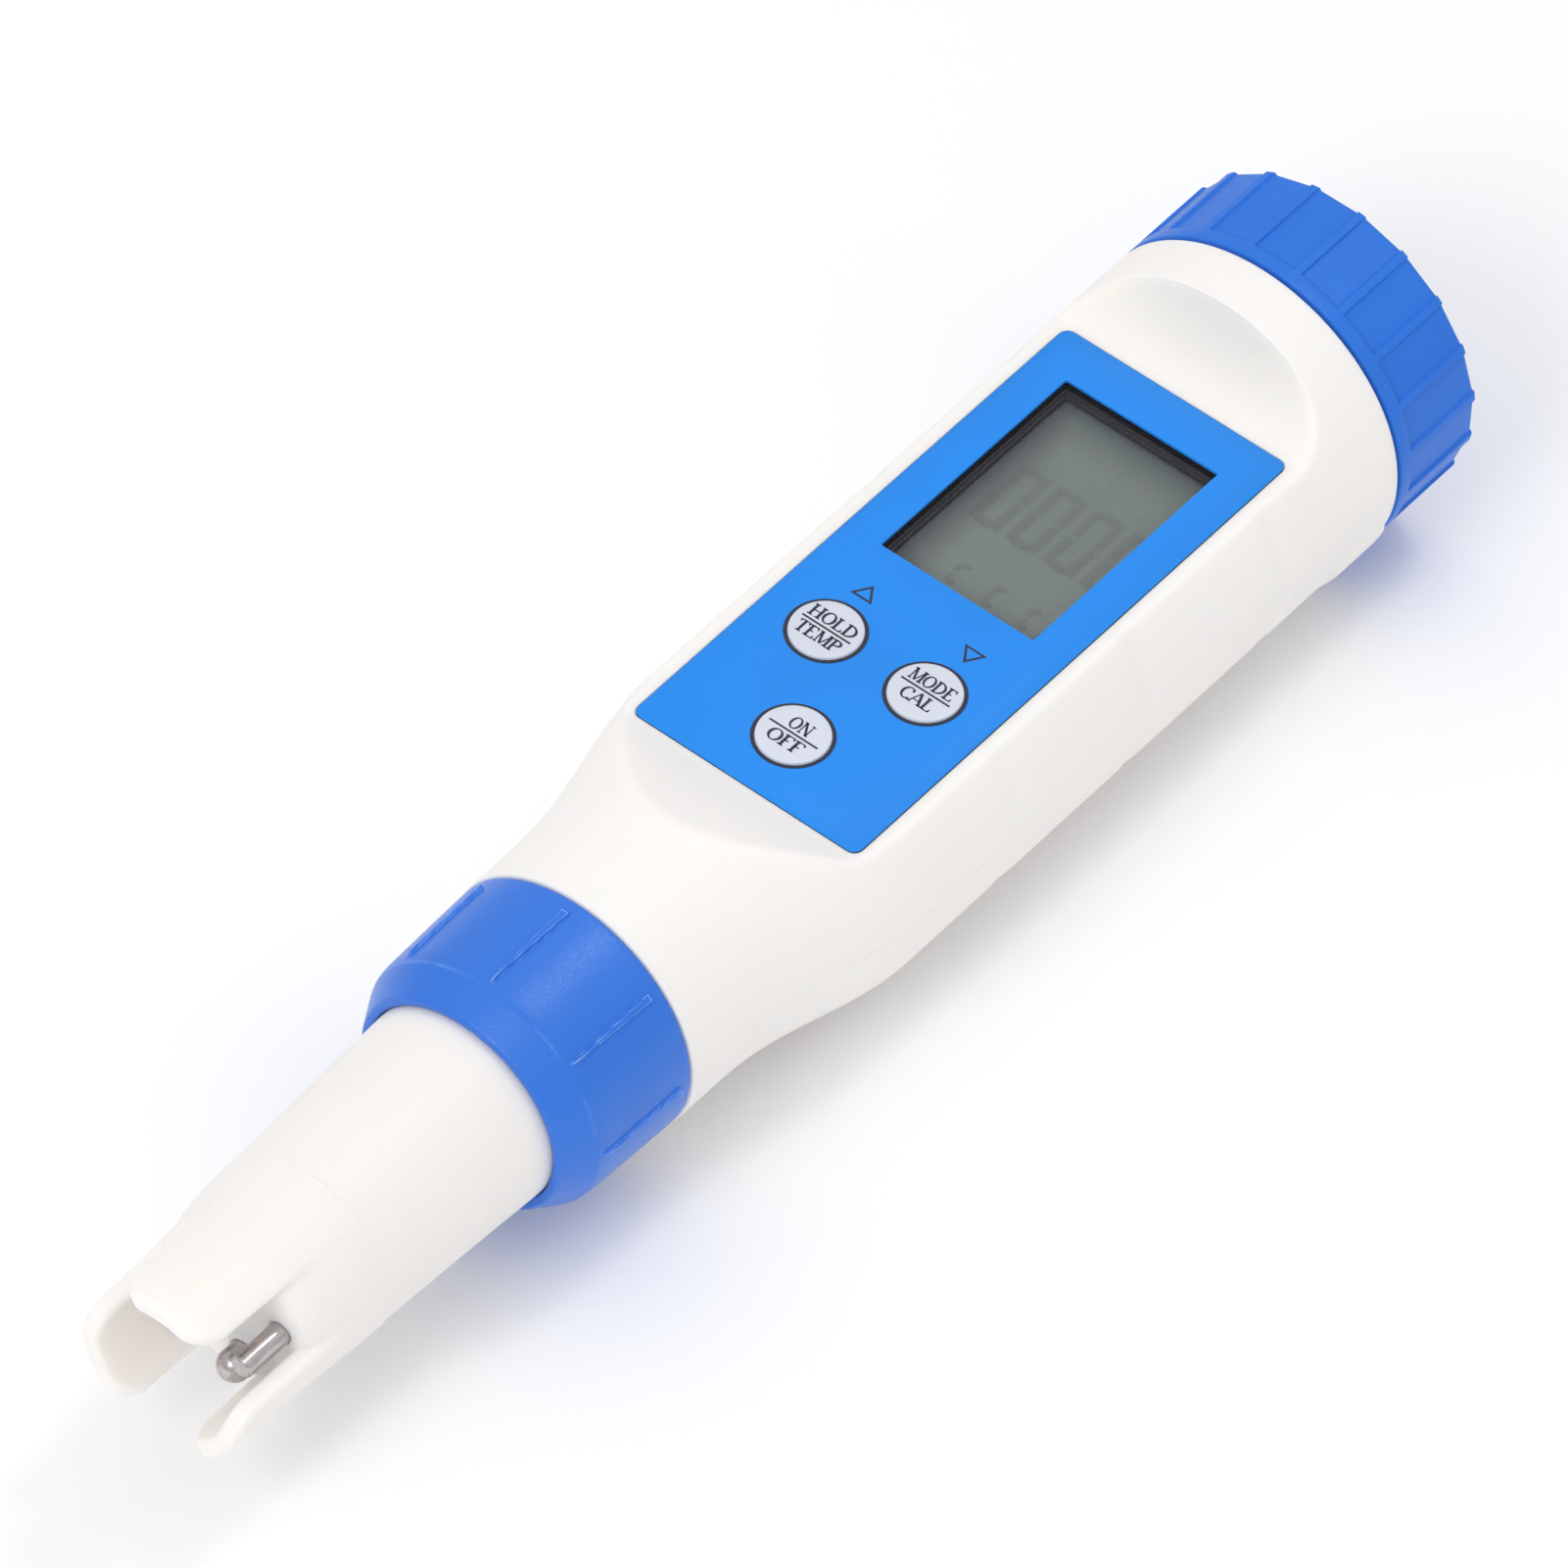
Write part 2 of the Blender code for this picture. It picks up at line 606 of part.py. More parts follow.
def make_buttons():
    """Three keys: a cap with a flange under the ceiling and a stem over its switch's plunger."""
    key = finish_of("key_silicone", PALE_KEY, 0.5)
    switch = finish_of("switch_steel", STEEL, 0.35, 0.8)
    plunger = finish_of("plunger_plastic", NAVY, 0.5)
    flange_low, flange_high = BUTTON_FLANGE_Z
    key_profile = (
        (BUTTON_STEM_Z, 0.0),
        (BUTTON_STEM_Z, BUTTON_STEM_RADIUS),
        (flange_low, BUTTON_STEM_RADIUS),
        (flange_low, BUTTON_FLANGE_RADIUS),
        (flange_high, BUTTON_FLANGE_RADIUS),
        (flange_high, BUTTON_RADIUS),
        (BUTTON_TOP_Z - 0.0002, BUTTON_RADIUS),
        (BUTTON_TOP_Z, BUTTON_RADIUS - 0.0004),
        (BUTTON_TOP_Z, 0.0),
    )
    low, high = PLUNGER_Z
    plunger_profile = ((low, 0), (low, PLUNGER_RADIUS), (high, PLUNGER_RADIUS), (high, 0))
    for name, x, y in BUTTONS:
        upright_turned("button_" + name, key_profile, key, (x, y), 20)
        upright_turned("plunger_" + name, plunger_profile, plunger, (x, y), 12)
        corner_low = (x - SWITCH_HALF, y - SWITCH_HALF, ON_BOARD_Z)
        corner_high = (x + SWITCH_HALF, y + SWITCH_HALF, SWITCH_TOP_Z)
        housing = box("switch_" + name, corner_low, corner_high, switch, 0.0002)
        bm = bmesh.new()
        add_prism(bm, circle((x, y), SWITCH_BORE, 12), ON_BOARD_Z + 0.0004, SWITCH_TOP_Z + CUT_CLEARANCE)
        boolean(housing, cutter("switch_bore_" + name, bm), "DIFFERENCE")


def upright_turned(name, profile, material, centre, segments):
    """Turns (z, radius) points about a vertical line; the object's origin is on that line."""
    bm = bmesh.new()
    verts = [bm.verts.new((radius, 0, z)) for z, radius in profile]
    edges = [bm.edges.new(pair) for pair in zip(verts, verts[1:])]
    if profile[0][1] > 0:
        edges.append(bm.edges.new((verts[-1], verts[0])))
    bmesh.ops.spin(
        bm, geom=verts + edges, cent=(0, 0, 0), axis=(0, 0, 1), angle=math.tau, steps=segments, use_merge=True
    )
    return piece(name, bm, material, (*centre, 0))


def make_electronics():
    """Chassis, board, chips, screws and the socket for the electrode's plug."""
    nylon = finish_of("chassis_nylon", NYLON_GREY, 0.6)
    board = finish_of("circuit_board", BOARD_GREEN, 0.45)
    chip = finish_of("chip_epoxy", CHIP_BLACK, 0.5)
    shield = finish_of("shield_can", STEEL, 0.3, 0.9)
    steel = finish_of("screw_steel", STEEL, 0.35, 0.9)
    make_chassis(nylon)
    box("main_board", (BOARD_X[0], -BOARD_HALF_Y, BOARD_Z[0]), (BOARD_X[1], BOARD_HALF_Y, BOARD_Z[1]), board)
    top_pieces = (
        ("controller_chip", CHIP_X, CHIP_HALF_Y, CHIP_TOP_Z, chip),
        ("bluetooth_module", RADIO_X, RADIO_HALF_Y, RADIO_TOP_Z, shield),
    )
    for name, (x0, x1), half_y, top_z, material in top_pieces:
        box(name, (x0, -half_y, ON_BOARD_Z), (x1, half_y, top_z), material, 0.00025)
    rim_z = ON_BOARD_Z + 0.7 * SCREW_HEIGHT
    top_z = ON_BOARD_Z + SCREW_HEIGHT
    head = [(ON_BOARD_Z, 0), (ON_BOARD_Z, SCREW_RADIUS), (rim_z, SCREW_RADIUS)]
    head += [(top_z, 0.7 * SCREW_RADIUS), (top_z, 0)]
    for index, (x, y) in enumerate([(x, y) for x in SCREW_X for y in (-SCREW_Y, SCREW_Y)], 1):
        upright_turned("board_screw_%d" % index, head, steel, (x, y), 12)
    socket = turned("electrode_socket", rod_outline(*SOCKET_X, SOCKET_RADIUS, 0.0004), nylon, 24)
    hole = rod_outline(SOCKET_X[0] - CUT_CLEARANCE, CONTACT_X[1] + 0.0014, CONTACT_RADIUS + 0.0003)
    bm = bmesh.new()
    for place in contact_places():
        add_turned(bm, hole, 8, place)
    boolean(socket, cutter("socket_holes", bm), "DIFFERENCE")


def make_chassis(nylon):
    """A tray with two rails beside the display and a tongue under the board."""
    low, high = CHASSIS_Z
    inner_y = CHASSIS_HALF_Y - CHASSIS_RAIL
    half = [(CHASSIS_HALF_Y, low), (CHASSIS_HALF_Y, CHASSIS_RAIL_TOP_Z)]
    half += [(inner_y, CHASSIS_RAIL_TOP_Z), (inner_y, high)]
    section = half + [(-y, z) for y, z in reversed(half)]
    bm = bmesh.new()
    near, far = ([bm.verts.new((x, y, z)) for y, z in section] for x in CHASSIS_X)
    bridge(bm, near, far)
    bm.faces.new(near)
    bm.faces.new(far)
    chassis = piece("chassis_frame", bm, nylon)
    bm = bmesh.new()
    add_box(bm, (TONGUE_X[0], -TONGUE_HALF_Y, low + 0.0001), (TONGUE_X[1], TONGUE_HALF_Y, high - 0.0001))
    boolean(chassis, cutter("chassis_tongue", bm), "UNION")


def make_battery():
    """Tray, four button cells, the spring behind them and the strip to the cap's contact."""
    steel = finish_of("cell_steel", STEEL, 0.25, 1.0)
    brass = finish_of("contact_brass", BRASS, 0.3, 1.0)
    nylon = finish_of("chassis_nylon", NYLON_GREY, 0.6)
    centre = (0.0, TRAY_Z)
    wall_x = TRAY_X[0] + 0.0010
    tray = [
        (TRAY_X[0], 0),
        (TRAY_X[0], TRAY_RADIUS),
        (TRAY_X[1], TRAY_RADIUS),
        (TRAY_X[1], TRAY_BORE),
        (wall_x, TRAY_BORE),
        (wall_x, 0),
    ]
    turned("battery_tray", tray, nylon, 24, centre)
    for index in range(CELL_COUNT):
        start = CELL_START_X + index * (CELL_LENGTH + CELL_GAP)
        end = start + CELL_LENGTH
        outline = [
            (start, 0),
            (start, CELL_RADIUS - CELL_POLE),
            (start + 0.0009, CELL_RADIUS - CELL_POLE),
            (start + 0.0010, CELL_RADIUS),
            (end - 0.0003, CELL_RADIUS),
            (end, CELL_RADIUS - 0.0003),
            (end, 0),
        ]
        turned("button_cell_%d" % (index + 1), outline, steel, 18, centre)
    spring_at(wall_x + 0.0007, CELL_START_X - 0.0006, brass)
    x0, x1 = STRIP_X
    outline = [(x0, -STRIP_HALF_Y), (x1, -STRIP_HALF_Y), (x1, STRIP_HALF_Y), (x0, STRIP_HALF_Y)]
    bm = bmesh.new()
    add_prism(bm, outline, *STRIP_Z)
    strip = piece("battery_strip", bm, brass)
    tab_y = STRIP_HALF_Y - 0.0002
    bm = bmesh.new()
    add_box(bm, (STRIP_TAB_X[0], -tab_y, STRIP_Z[0] + 0.0002), (STRIP_TAB_X[1], tab_y, STRIP_TAB_TOP_Z))
    boolean(strip, cutter("strip_tab", bm), "UNION")
    ring("cap_o_ring", *CAP_O_RING, finish_of("black_rubber", NAVY, 0.7))


def spring_at(x0, x1, material):
    """A conical coil spring between the tray's end wall and the first cell."""
    steps = 26
    data = bpy.data.curves.new("battery_spring", "CURVE")
    data.dimensions = "3D"
    data.bevel_depth = SPRING_WIRE
    data.bevel_resolution = 1
    data.use_fill_caps = True
    spline = data.splines.new("POLY")
    spline.points.add(steps)
    for i in range(steps + 1):
        share = i / steps
        angle = math.tau * SPRING_TURNS * share
        radius = SPRING_RADII[0] + (SPRING_RADII[1] - SPRING_RADII[0]) * share
        x = x0 + (x1 - x0) * share
        spline.points[i].co = (x, radius * math.cos(angle), TRAY_Z + radius * math.sin(angle), 1)
    obj = bpy.data.objects.new("battery_spring", data)
    bpy.context.scene.collection.objects.link(obj)
    obj.parent = bpy.data.objects["pen_axis"]
    data.materials.append(material)


def ring(name, x, radius, material):
    """A rubber ring round the pen's axis."""
    outline = []
    for i in range(6):
        turn = math.tau * i / 6
        outline.append((x + O_RING_THICKNESS * math.cos(turn), radius + O_RING_THICKNESS * math.sin(turn)))
    return turned(name, outline, material, 24)


def cap_section(depth):
    """(angle, radius) pairs round the cap: narrow ribs at full radius, panels sunk by depth."""
    pairs = []
    pitch = math.tau / CAP_RIBS
    for i in range(CAP_RIBS):
        middle = (i + 0.5) * pitch
        pairs.append((middle - RIB_HALF_ANGLE - RIB_FLANK_ANGLE, BODY_RADIUS - depth))
        pairs.append((middle - RIB_HALF_ANGLE, BODY_RADIUS))
        pairs.append((middle + RIB_HALF_ANGLE, BODY_RADIUS))
        pairs.append((middle + RIB_HALF_ANGLE + RIB_FLANK_ANGLE, BODY_RADIUS - depth))
        pairs.append((middle + pitch / 2, BODY_RADIUS - depth))
    return pairs


def shrunk(pairs, amount):
    return [(angle, radius - amount) for angle, radius in pairs]


def make_battery_cap(plastic):
    """The screw cap: plain rim band, ribs with sunk panels, threaded bore and the contact's pivot stud."""
    plain = cap_section(0.0)
    ribbed = cap_section(PANEL_DEPTH)
    inside = [(angle, CAP_BORE) for angle, _ in plain]
    bm = bmesh.new()
    rings = [
        ring_loop(bm, GAP + EDGE, inside),
        ring_loop(bm, GAP, shrunk(plain, 0.0016)),
        ring_loop(bm, GAP, shrunk(plain, EDGE)),
        ring_loop(bm, GAP + EDGE, plain),
        ring_loop(bm, RIM_BAND, plain),
        ring_loop(bm, RIM_BAND + 0.0003, ribbed),
        ring_loop(bm, CAP_LENGTH - EDGE, ribbed),
        ring_loop(bm, CAP_LENGTH, shrunk(ribbed, EDGE)),
    ]
    for a, b in zip(rings, rings[1:]):
        bridge(bm, a, b)
    bm.faces.new(rings[-1])
    floor = ring_loop(bm, CAP_INNER_END_X, inside)
    bridge(bm, floor, rings[0])
    bm.faces.new(floor)
    cap = piece("battery_cap", bm, plastic, smooth=20)
    thread(cap, CAP_THREAD_X + PITCH / 2, CAP_BORE, False)
    start_x, head_x, end_x = STUD_X
    stud = [(start_x, 0), (start_x, STUD_HEAD_RADIUS), (head_x, STUD_HEAD_RADIUS)]
    stud += [(head_x + 0.0001, STUD_NECK_RADIUS), (end_x, STUD_NECK_RADIUS), (end_x, 0)]
    bm = bmesh.new()
    add_turned(bm, stud, 16)
    boolean(cap, cutter("cap_stud", bm), "UNION")


def make_contact_disc():
    """The brass plate held in the cap: it slides out with the cap but its boss keeps it from turning."""
    brass = finish_of("contact_brass", BRASS, 0.3, 1.0)
    near_x, far_x = DISC_X
    outline = [(near_x, DISC_HOLE), (near_x, DISC_RADIUS), (far_x, DISC_RADIUS), (far_x, DISC_HOLE)]
    disc = turned("cap_contact_disc", outline, brass, 24)
    bm = bmesh.new()
    add_turned(bm, rod_outline(DISC_BOSS_X, near_x + 0.0002, DISC_BOSS_RADIUS, 0.0005), 16, (0.0, TRAY_Z))
    boolean(disc, cutter("disc_boss", bm), "UNION")


def make_collar_nut(plastic):
    """The nut that holds the electrode: cone nose, slim ribs, threaded bore, shoulder on the flange."""
    shoulder_x = FLANGE_X[0] - 0.0004
    outline = [
        (COLLAR_FRONT_X, COLLAR_MOUTH + 0.0001),
        (COLLAR_FRONT_X, 0.0124),
        (COLLAR_FRONT_X + 0.0002, 0.0127),
        (COLLAR_SHOULDER_X - 0.0005, 0.01445),
        (COLLAR_SHOULDER_X + 0.0004, 0.01466),
        (COLLAR_BACK_X - EDGE, COLLAR_BACK_RADIUS),
        (COLLAR_BACK_X, COLLAR_BACK_RADIUS - EDGE),
        (COLLAR_BACK_X, NUT_BORE + EDGE),
        (COLLAR_BACK_X - EDGE, NUT_BORE),
        (shoulder_x, NUT_BORE),
        (shoulder_x, COLLAR_MOUTH),
    ]
    nut = turned("collar_nut", outline, plastic, 32)
    bm = bmesh.new()
    for i in range(COLLAR_RIBS):
        add_collar_rib(bm, i * 360 / COLLAR_RIBS)
    boolean(nut, cutter("collar_ribs", bm), "UNION")
    thread(nut, NUT_THREAD_X - PITCH / 2, NUT_BORE, False)


def add_collar_rib(bm, angle):
    """A low rib along the nut, narrow at the nose and wider at the back."""
    foot = ((-1.5, -COLLAR_RIB_FOOT), (1.5, -COLLAR_RIB_FOOT))
    section = (foot[0], (-1.0, COLLAR_RIB_HEIGHT), (1.0, COLLAR_RIB_HEIGHT), foot[1])
    turn = Matrix.Rotation(math.radians(-angle), 4, "X")
    loops = []
    for x, radius, half in (COLLAR_RIB_FRONT, COLLAR_RIB_BACK):
        points = [turn @ Vector((x, -(radius + up), side * half)) for side, up in section]
        loops.append([bm.verts.new(point) for point in points])
    bridge(bm, *loops)
    bm.faces.new(loops[0])
    bm.faces.new(loops[1])


def slot_cutter():
    """The three openings between the guard's tines, each ending in a ramp up to the tube's surface."""
    outline = [
        (TIP_X - 0.001, GUARD_BORE - 0.0015),
        (TIP_X - 0.001, 0.0120),
        (-0.1490, 0.0120),
        (-0.1496, 0.01075),
        (-0.1535, 0.01015),
        (-0.1564, 0.00960),
        (-0.1576, 0.00900),
        (CORE_FACE_X + 0.0001, 0.00830),
        (CORE_FACE_X + 0.0001, GUARD_BORE - 0.0015),
    ]
    bm = bmesh.new()
    for tine in TINE_ANGLES:
        add_turned(bm, outline, 6, start=tine + 60 - SLOT_HALF_ANGLE, sweep=2 * SLOT_HALF_ANGLE)
    return cutter("slot_cutter", bm)


def sensor_holes_cutter():
    bm = bmesh.new()
    holes = [(angle, reach, PIN_RADIUS) for _, angle, reach in PIN_PLACES]
    holes += [(*PROBE_PLACE, PROBE_RADIUS), (*BULB_PLACE, STEM_RADIUS), (*JUNCTION_PLACE, JUNCTION_RADIUS)]
    for angle, reach, radius in holes:
        outline = rod_outline(CORE_FACE_X - 2 * CUT_CLEARANCE, CORE_BACK_X + CUT_CLEARANCE, radius + 0.0002)
        add_turned(bm, outline, 12, clock(angle, reach))
    return cutter("sensor_holes", bm)


def make_electrode_tube(plastic):
    groove_radius = SPIGOT_RADIUS - GROOVE_DEPTH
    outline = [
        (TIP_X, GUARD_BORE),
        (TIP_X, ELECTRODE_RADIUS_TIP - 0.0006),
        (TIP_X + 0.0006, ELECTRODE_RADIUS_TIP),
        (-0.1500, 0.0106),
        (COLLAR_FRONT_X, ELECTRODE_RADIUS_COLLAR),
        (FLANGE_X[0], ELECTRODE_RADIUS_COLLAR),
        (FLANGE_X[0], FLANGE_RADIUS),
        (FLANGE_X[1], FLANGE_RADIUS),
        (FLANGE_X[1], SPIGOT_RADIUS),
        (GROOVE_X[0], SPIGOT_RADIUS),
        (GROOVE_X[0], groove_radius),
        (GROOVE_X[1], groove_radius),
        (GROOVE_X[1], SPIGOT_RADIUS),
        (SPIGOT_END_X, SPIGOT_RADIUS),
        (SPIGOT_END_X, HOLLOW_RADIUS),
        (CORE_BACK_X, HOLLOW_RADIUS),
        (CORE_BACK_X, 0),
        (CORE_FACE_X, 0),
        (CORE_FACE_X, GUARD_BORE),
    ]
    tube = turned("electrode_tube", outline, plastic, 36)
    base_radius, nose_radius = PROBE_BOSS
    base_x, nose_x = CORE_FACE_X + 0.0005, CORE_FACE_X - 0.0010
    boss = [(base_x, 0), (base_x, base_radius), (nose_x, nose_radius), (nose_x, 0)]
    bm = bmesh.new()
    add_turned(bm, boss, 20, clock(*PROBE_PLACE))
    boolean(tube, cutter("probe_boss", bm), "UNION")
    boolean(tube, sensor_holes_cutter(), "DIFFERENCE")
    boolean(tube, slot_cutter(), "DIFFERENCE")
    ring("electrode_o_ring", *ELECTRODE_O_RING, finish_of("black_rubber", NAVY, 0.7))


def dome_outline(tip_x, end_x, radius, steps=5):
    """A rod with a round nose at tip_x and a flat far end."""
    outline = []
    for i in range(steps + 1):
        turn = math.pi / 2 * i / steps
        outline.append((tip_x + radius * (1 - math.cos(turn)), radius * math.sin(turn)))
    return outline + [(end_x, radius), (end_x, 0)]


def make_sensors():
    """What the electrode's core carries: bulb, junction, conductivity pins, temperature probe, wires."""
    steel = finish_of("probe_steel", STEEL, 0.3, 1.0)
    glass = finish_of("bulb_glass", GLASS, 0.05)
    ceramic = finish_of("junction_ceramic", CERAMIC, 0.8)
    silver = finish_of("silver_wire", SILVER, 0.3, 1.0)
    pin = rod_outline(*PIN_X, PIN_RADIUS, PIN_CHAMFER)
    for name, angle, reach in PIN_PLACES:
        turned("conductivity_pin_" + name, pin, steel, 12, clock(angle, reach))
    turned("temperature_probe", dome_outline(*PROBE_X, PROBE_RADIUS, 4), steel, 16, clock(*PROBE_PLACE))
    throat = math.asin(STEM_RADIUS / BULB_RADIUS)
    turns = [(math.pi - throat) * i / 5 for i in range(6)]
    inner = BULB_RADIUS - GLASS_WALL
    outline = [(BULB_X - BULB_RADIUS * math.cos(turn), BULB_RADIUS * math.sin(turn)) for turn in turns]
    outline += [(STEM_END_X, STEM_RADIUS), (STEM_END_X, STEM_RADIUS - GLASS_WALL)]
    outline += [(BULB_X - inner * math.cos(turn), inner * math.sin(turn)) for turn in reversed(turns)]
    turned("ph_glass_bulb", outline, glass, 16, clock(*BULB_PLACE))
    silver_wire = dome_outline(BULB_X + 0.0010, WIRE_END_X, WIRE_RADIUS, 2)
    turned("ph_silver_wire", silver_wire, silver, 8, clock(*BULB_PLACE))
    junction = rod_outline(CORE_FACE_X, CORE_BACK_X + 0.0005, JUNCTION_RADIUS, 0.0002)
    turned("reference_junction", junction, ceramic, 12, clock(*JUNCTION_PLACE))
    reference_wire = dome_outline(CORE_BACK_X + 0.0020, WIRE_END_X, WIRE_RADIUS, 2)
    turned("reference_wire", reference_wire, silver, 8, clock(*JUNCTION_PLACE))


def contact_places():
    return [clock(i * 360 / CONTACT_COUNT, CONTACT_CIRCLE) for i in range(CONTACT_COUNT)]


def make_plug():
    """The plug in the electrode's back end and the contact pins through it."""
    nylon = finish_of("chassis_nylon", NYLON_GREY, 0.6)
    gold = finish_of("pin_gold", GOLD, 0.25, 1.0)
    plug = turned("electrode_plug", rod_outline(*PLUG_X, HOLLOW_RADIUS - GAP), nylon, 24)
    hole = rod_outline(PLUG_X[0] - CUT_CLEARANCE, PLUG_X[1] + CUT_CLEARANCE, CONTACT_RADIUS + 0.0002)
    bm = bmesh.new()
    for place in contact_places():
        add_turned(bm, hole, 8, place)
    boolean(plug, cutter("plug_holes", bm), "DIFFERENCE")
    contact = rod_outline(*CONTACT_X, CONTACT_RADIUS, 0.00015)
    for index, place in enumerate(contact_places(), 1):
        turned("contact_pin_%d" % index, contact, gold, 8, place)


def main():
    clear_scene()
    axis = bpy.data.objects.new("pen_axis", None)
    bpy.context.scene.collection.objects.link(axis)
    axis.location = (SEAM_X, 0, AXIS_Z)
    white = finish_of("white_plastic", WHITE, 0.4)
    blue = finish_of("blue_plastic", CAP_BLUE, 0.4)
    make_body_shell(white)
    make_face()
    make_buttons()
    make_electronics()
    make_battery()
    make_battery_cap(blue)
    make_contact_disc()
    make_collar_nut(blue)
    make_electrode_tube(white)
    make_sensors()
    make_plug()


main()
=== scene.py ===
"""Looks for a pen-shaped pH meter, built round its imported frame.

Lengths are in millimetres along the pen, from the seam between the body and the battery cap:
negative towards the electrode's tip. Clock angles round the pen are in degrees, from -Y (0) over
the display side (90) to +Y (180). piece() turns both into the frame's metres.
"""

import math

import bmesh
import bpy
import numpy as np
from mathutils import Matrix, Vector


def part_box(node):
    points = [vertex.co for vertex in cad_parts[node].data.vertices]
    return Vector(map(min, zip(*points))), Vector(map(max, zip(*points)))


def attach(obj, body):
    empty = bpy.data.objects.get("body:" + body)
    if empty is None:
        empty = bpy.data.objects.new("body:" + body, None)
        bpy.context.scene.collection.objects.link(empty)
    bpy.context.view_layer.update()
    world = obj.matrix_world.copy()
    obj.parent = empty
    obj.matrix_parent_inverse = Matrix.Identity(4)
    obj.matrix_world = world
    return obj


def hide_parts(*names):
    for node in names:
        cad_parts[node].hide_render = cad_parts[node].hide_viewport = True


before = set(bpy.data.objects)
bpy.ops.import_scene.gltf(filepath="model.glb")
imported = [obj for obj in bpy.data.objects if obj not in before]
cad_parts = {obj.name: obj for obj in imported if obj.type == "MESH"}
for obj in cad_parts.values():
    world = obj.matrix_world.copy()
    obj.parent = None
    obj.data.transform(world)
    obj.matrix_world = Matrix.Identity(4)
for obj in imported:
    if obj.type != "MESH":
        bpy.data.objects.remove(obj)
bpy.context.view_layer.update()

MM = 0.001
cap_low, cap_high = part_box("battery_cap")
ORIGIN = Vector((cap_low.x - 0.3 * MM, 0.0, (cap_low.z + cap_high.z) / 2))


def local_box(node):
    """A CAD node's corners in the pen's own millimetres."""
    low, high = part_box(node)
    return [(low[i] - ORIGIN[i]) / MM for i in range(3)], [(high[i] - ORIGIN[i]) / MM for i in range(3)]


# ---- sizes

BODY_RADIUS = 19.0
NECK_RADIUS = 15.2
FLARE_X = (-101.5, -75.5)
BACK_PAD_RADIUS = 19.4
BODY_FRONT_X = -106.88
NECK_END_X = local_box("body_shell")[0][0]
MOUTH_END_X = local_box("body_shell")[1][0]
LAND_Z = 10.44
LAND_RAMP = ((-81.9, 10.44), (-93.4, 15.8))
LAND_RAMP_BULGE = 0.22
SCOOP_X = (-13.3, -6.6)
GRIP_DIP_X = (-61.2, -40.8, -19.2)
GRIP_DIP_REACH = 2.1
GRIP_DIP_DEPTH = 0.22
PARTING_LINE_DEPTH = 0.05
FAR = 99.0

LABEL_LOW, LABEL_HIGH = local_box("face_label")
LABEL_TOP_Z = LABEL_HIGH[2]
WINDOW_LOW, WINDOW_HIGH = local_box("lcd_window")
LCD_TOP_Z = local_box("lcd_glass")[1][2]
KEYS = {name: local_box("button_" + name) for name in ("power", "hold", "mode")}
KEY_RADIUS = 3.85
# Two words on each key, each with its width.
KEY_WORDS = {
    "power": (("ON", 2.5), ("OFF", 4.1)),
    "hold": (("HOLD", 5.6), ("TEMP", 5.3)),
    "mode": (("MODE", 5.3), ("CAL", 3.8)),
}

CAP_END_X = local_box("battery_cap")[1][0]
CAP_RIBS = 20
CAP_PANEL_DEPTH = 0.30
CAP_BAND_END_X = 1.9
CAP_BORE = 16.7

COLLAR_RADIUS = 15.0
COLLAR_BORE = 13.6
COLLAR_RIB_STEP = 45
COLLAR_PROFILE = (
    (-124.0, 12.55), (-123.86, 12.68), (-123.5, 12.88), (-122.5, 13.45), (-121.6, 13.95), (-121.0, 14.28),
    (-120.75, 14.41), (-120.6, 14.47), (-120.45, 14.53), (-120.3, 14.57), (-120.1, 14.60), (-119.6, 14.66),
    (-119.0, 14.70), (-116.0, 14.79), (-112.0, 14.93), (-108.0, 15.03), (-107.5, 15.03), (-107.2, 15.0),
    (-107.03, 14.90), (-106.98, 14.70),
)

TIP_X = local_box("electrode_tube")[0][0]
ELECTRODE_JOIN_X = -121.0
CORE_FACE_X = -158.1
GUARD_BORE = 7.9
TINE_CLOCKS = (88.3, 208.3, 328.3)
TINE_RADIUS = 9.6
# Sensors stand at (clock angle, distance from the axis).
PIN_PLACES = {"1": (13, 6.25), "2": (109, 6.25)}
PIN_RADIUS = 1.25
PROBE_PLACE = (304, 4.65)
PROBE_RADIUS = 1.8
BULB_PLACE = (196, 4.2)
JUNCTION_PLACE = (61, 2.5)
# Their holes in the core's face: (place, radius of the hole, radius of the cone round it or 0).
SENSOR_HOLES = [(place, PIN_RADIUS + 0.03, 0) for place in PIN_PLACES.values()]
SENSOR_HOLES += [(PROBE_PLACE, PROBE_RADIUS + 0.03, 2.2), (BULB_PLACE, 3.0, 0), (JUNCTION_PLACE, 1.22, 0)]

PITCH = 3.0
THREAD_HEIGHT = 0.9
THREAD_TURNS = 1.75
CAP_THREAD_X = 2.3
COLLAR_THREAD_X = -114.2


# ---- mesh helpers


def bent_normals(mesh, angle):
    mesh.shade_smooth()
    mesh.set_sharp_from_angle(angle=math.radians(angle))


def piece(name, verts, faces, material=None, body=None, replaces=(), slot=None, sharp=35.0):
    """An object made from points in the pen's millimetres, riding on a body."""
    mesh = bpy.data.meshes.new(name)
    mesh.from_pydata((np.asarray(verts, float) * MM).tolist(), [], faces)
    bm = bmesh.new()
    bm.from_mesh(mesh)
    bmesh.ops.remove_doubles(bm, verts=bm.verts, dist=1e-7)
    bmesh.ops.recalc_face_normals(bm, faces=bm.faces)
    bm.to_mesh(mesh)
    bm.free()
    bent_normals(mesh, sharp)
    obj = bpy.data.objects.new(name, mesh)
    bpy.context.scene.collection.objects.link(obj)
    obj.location = ORIGIN
    if material is not None:
        mesh.materials.append(material)
    if body is not None:
        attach(obj, body)
    if replaces:
        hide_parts(*replaces)
    return obj


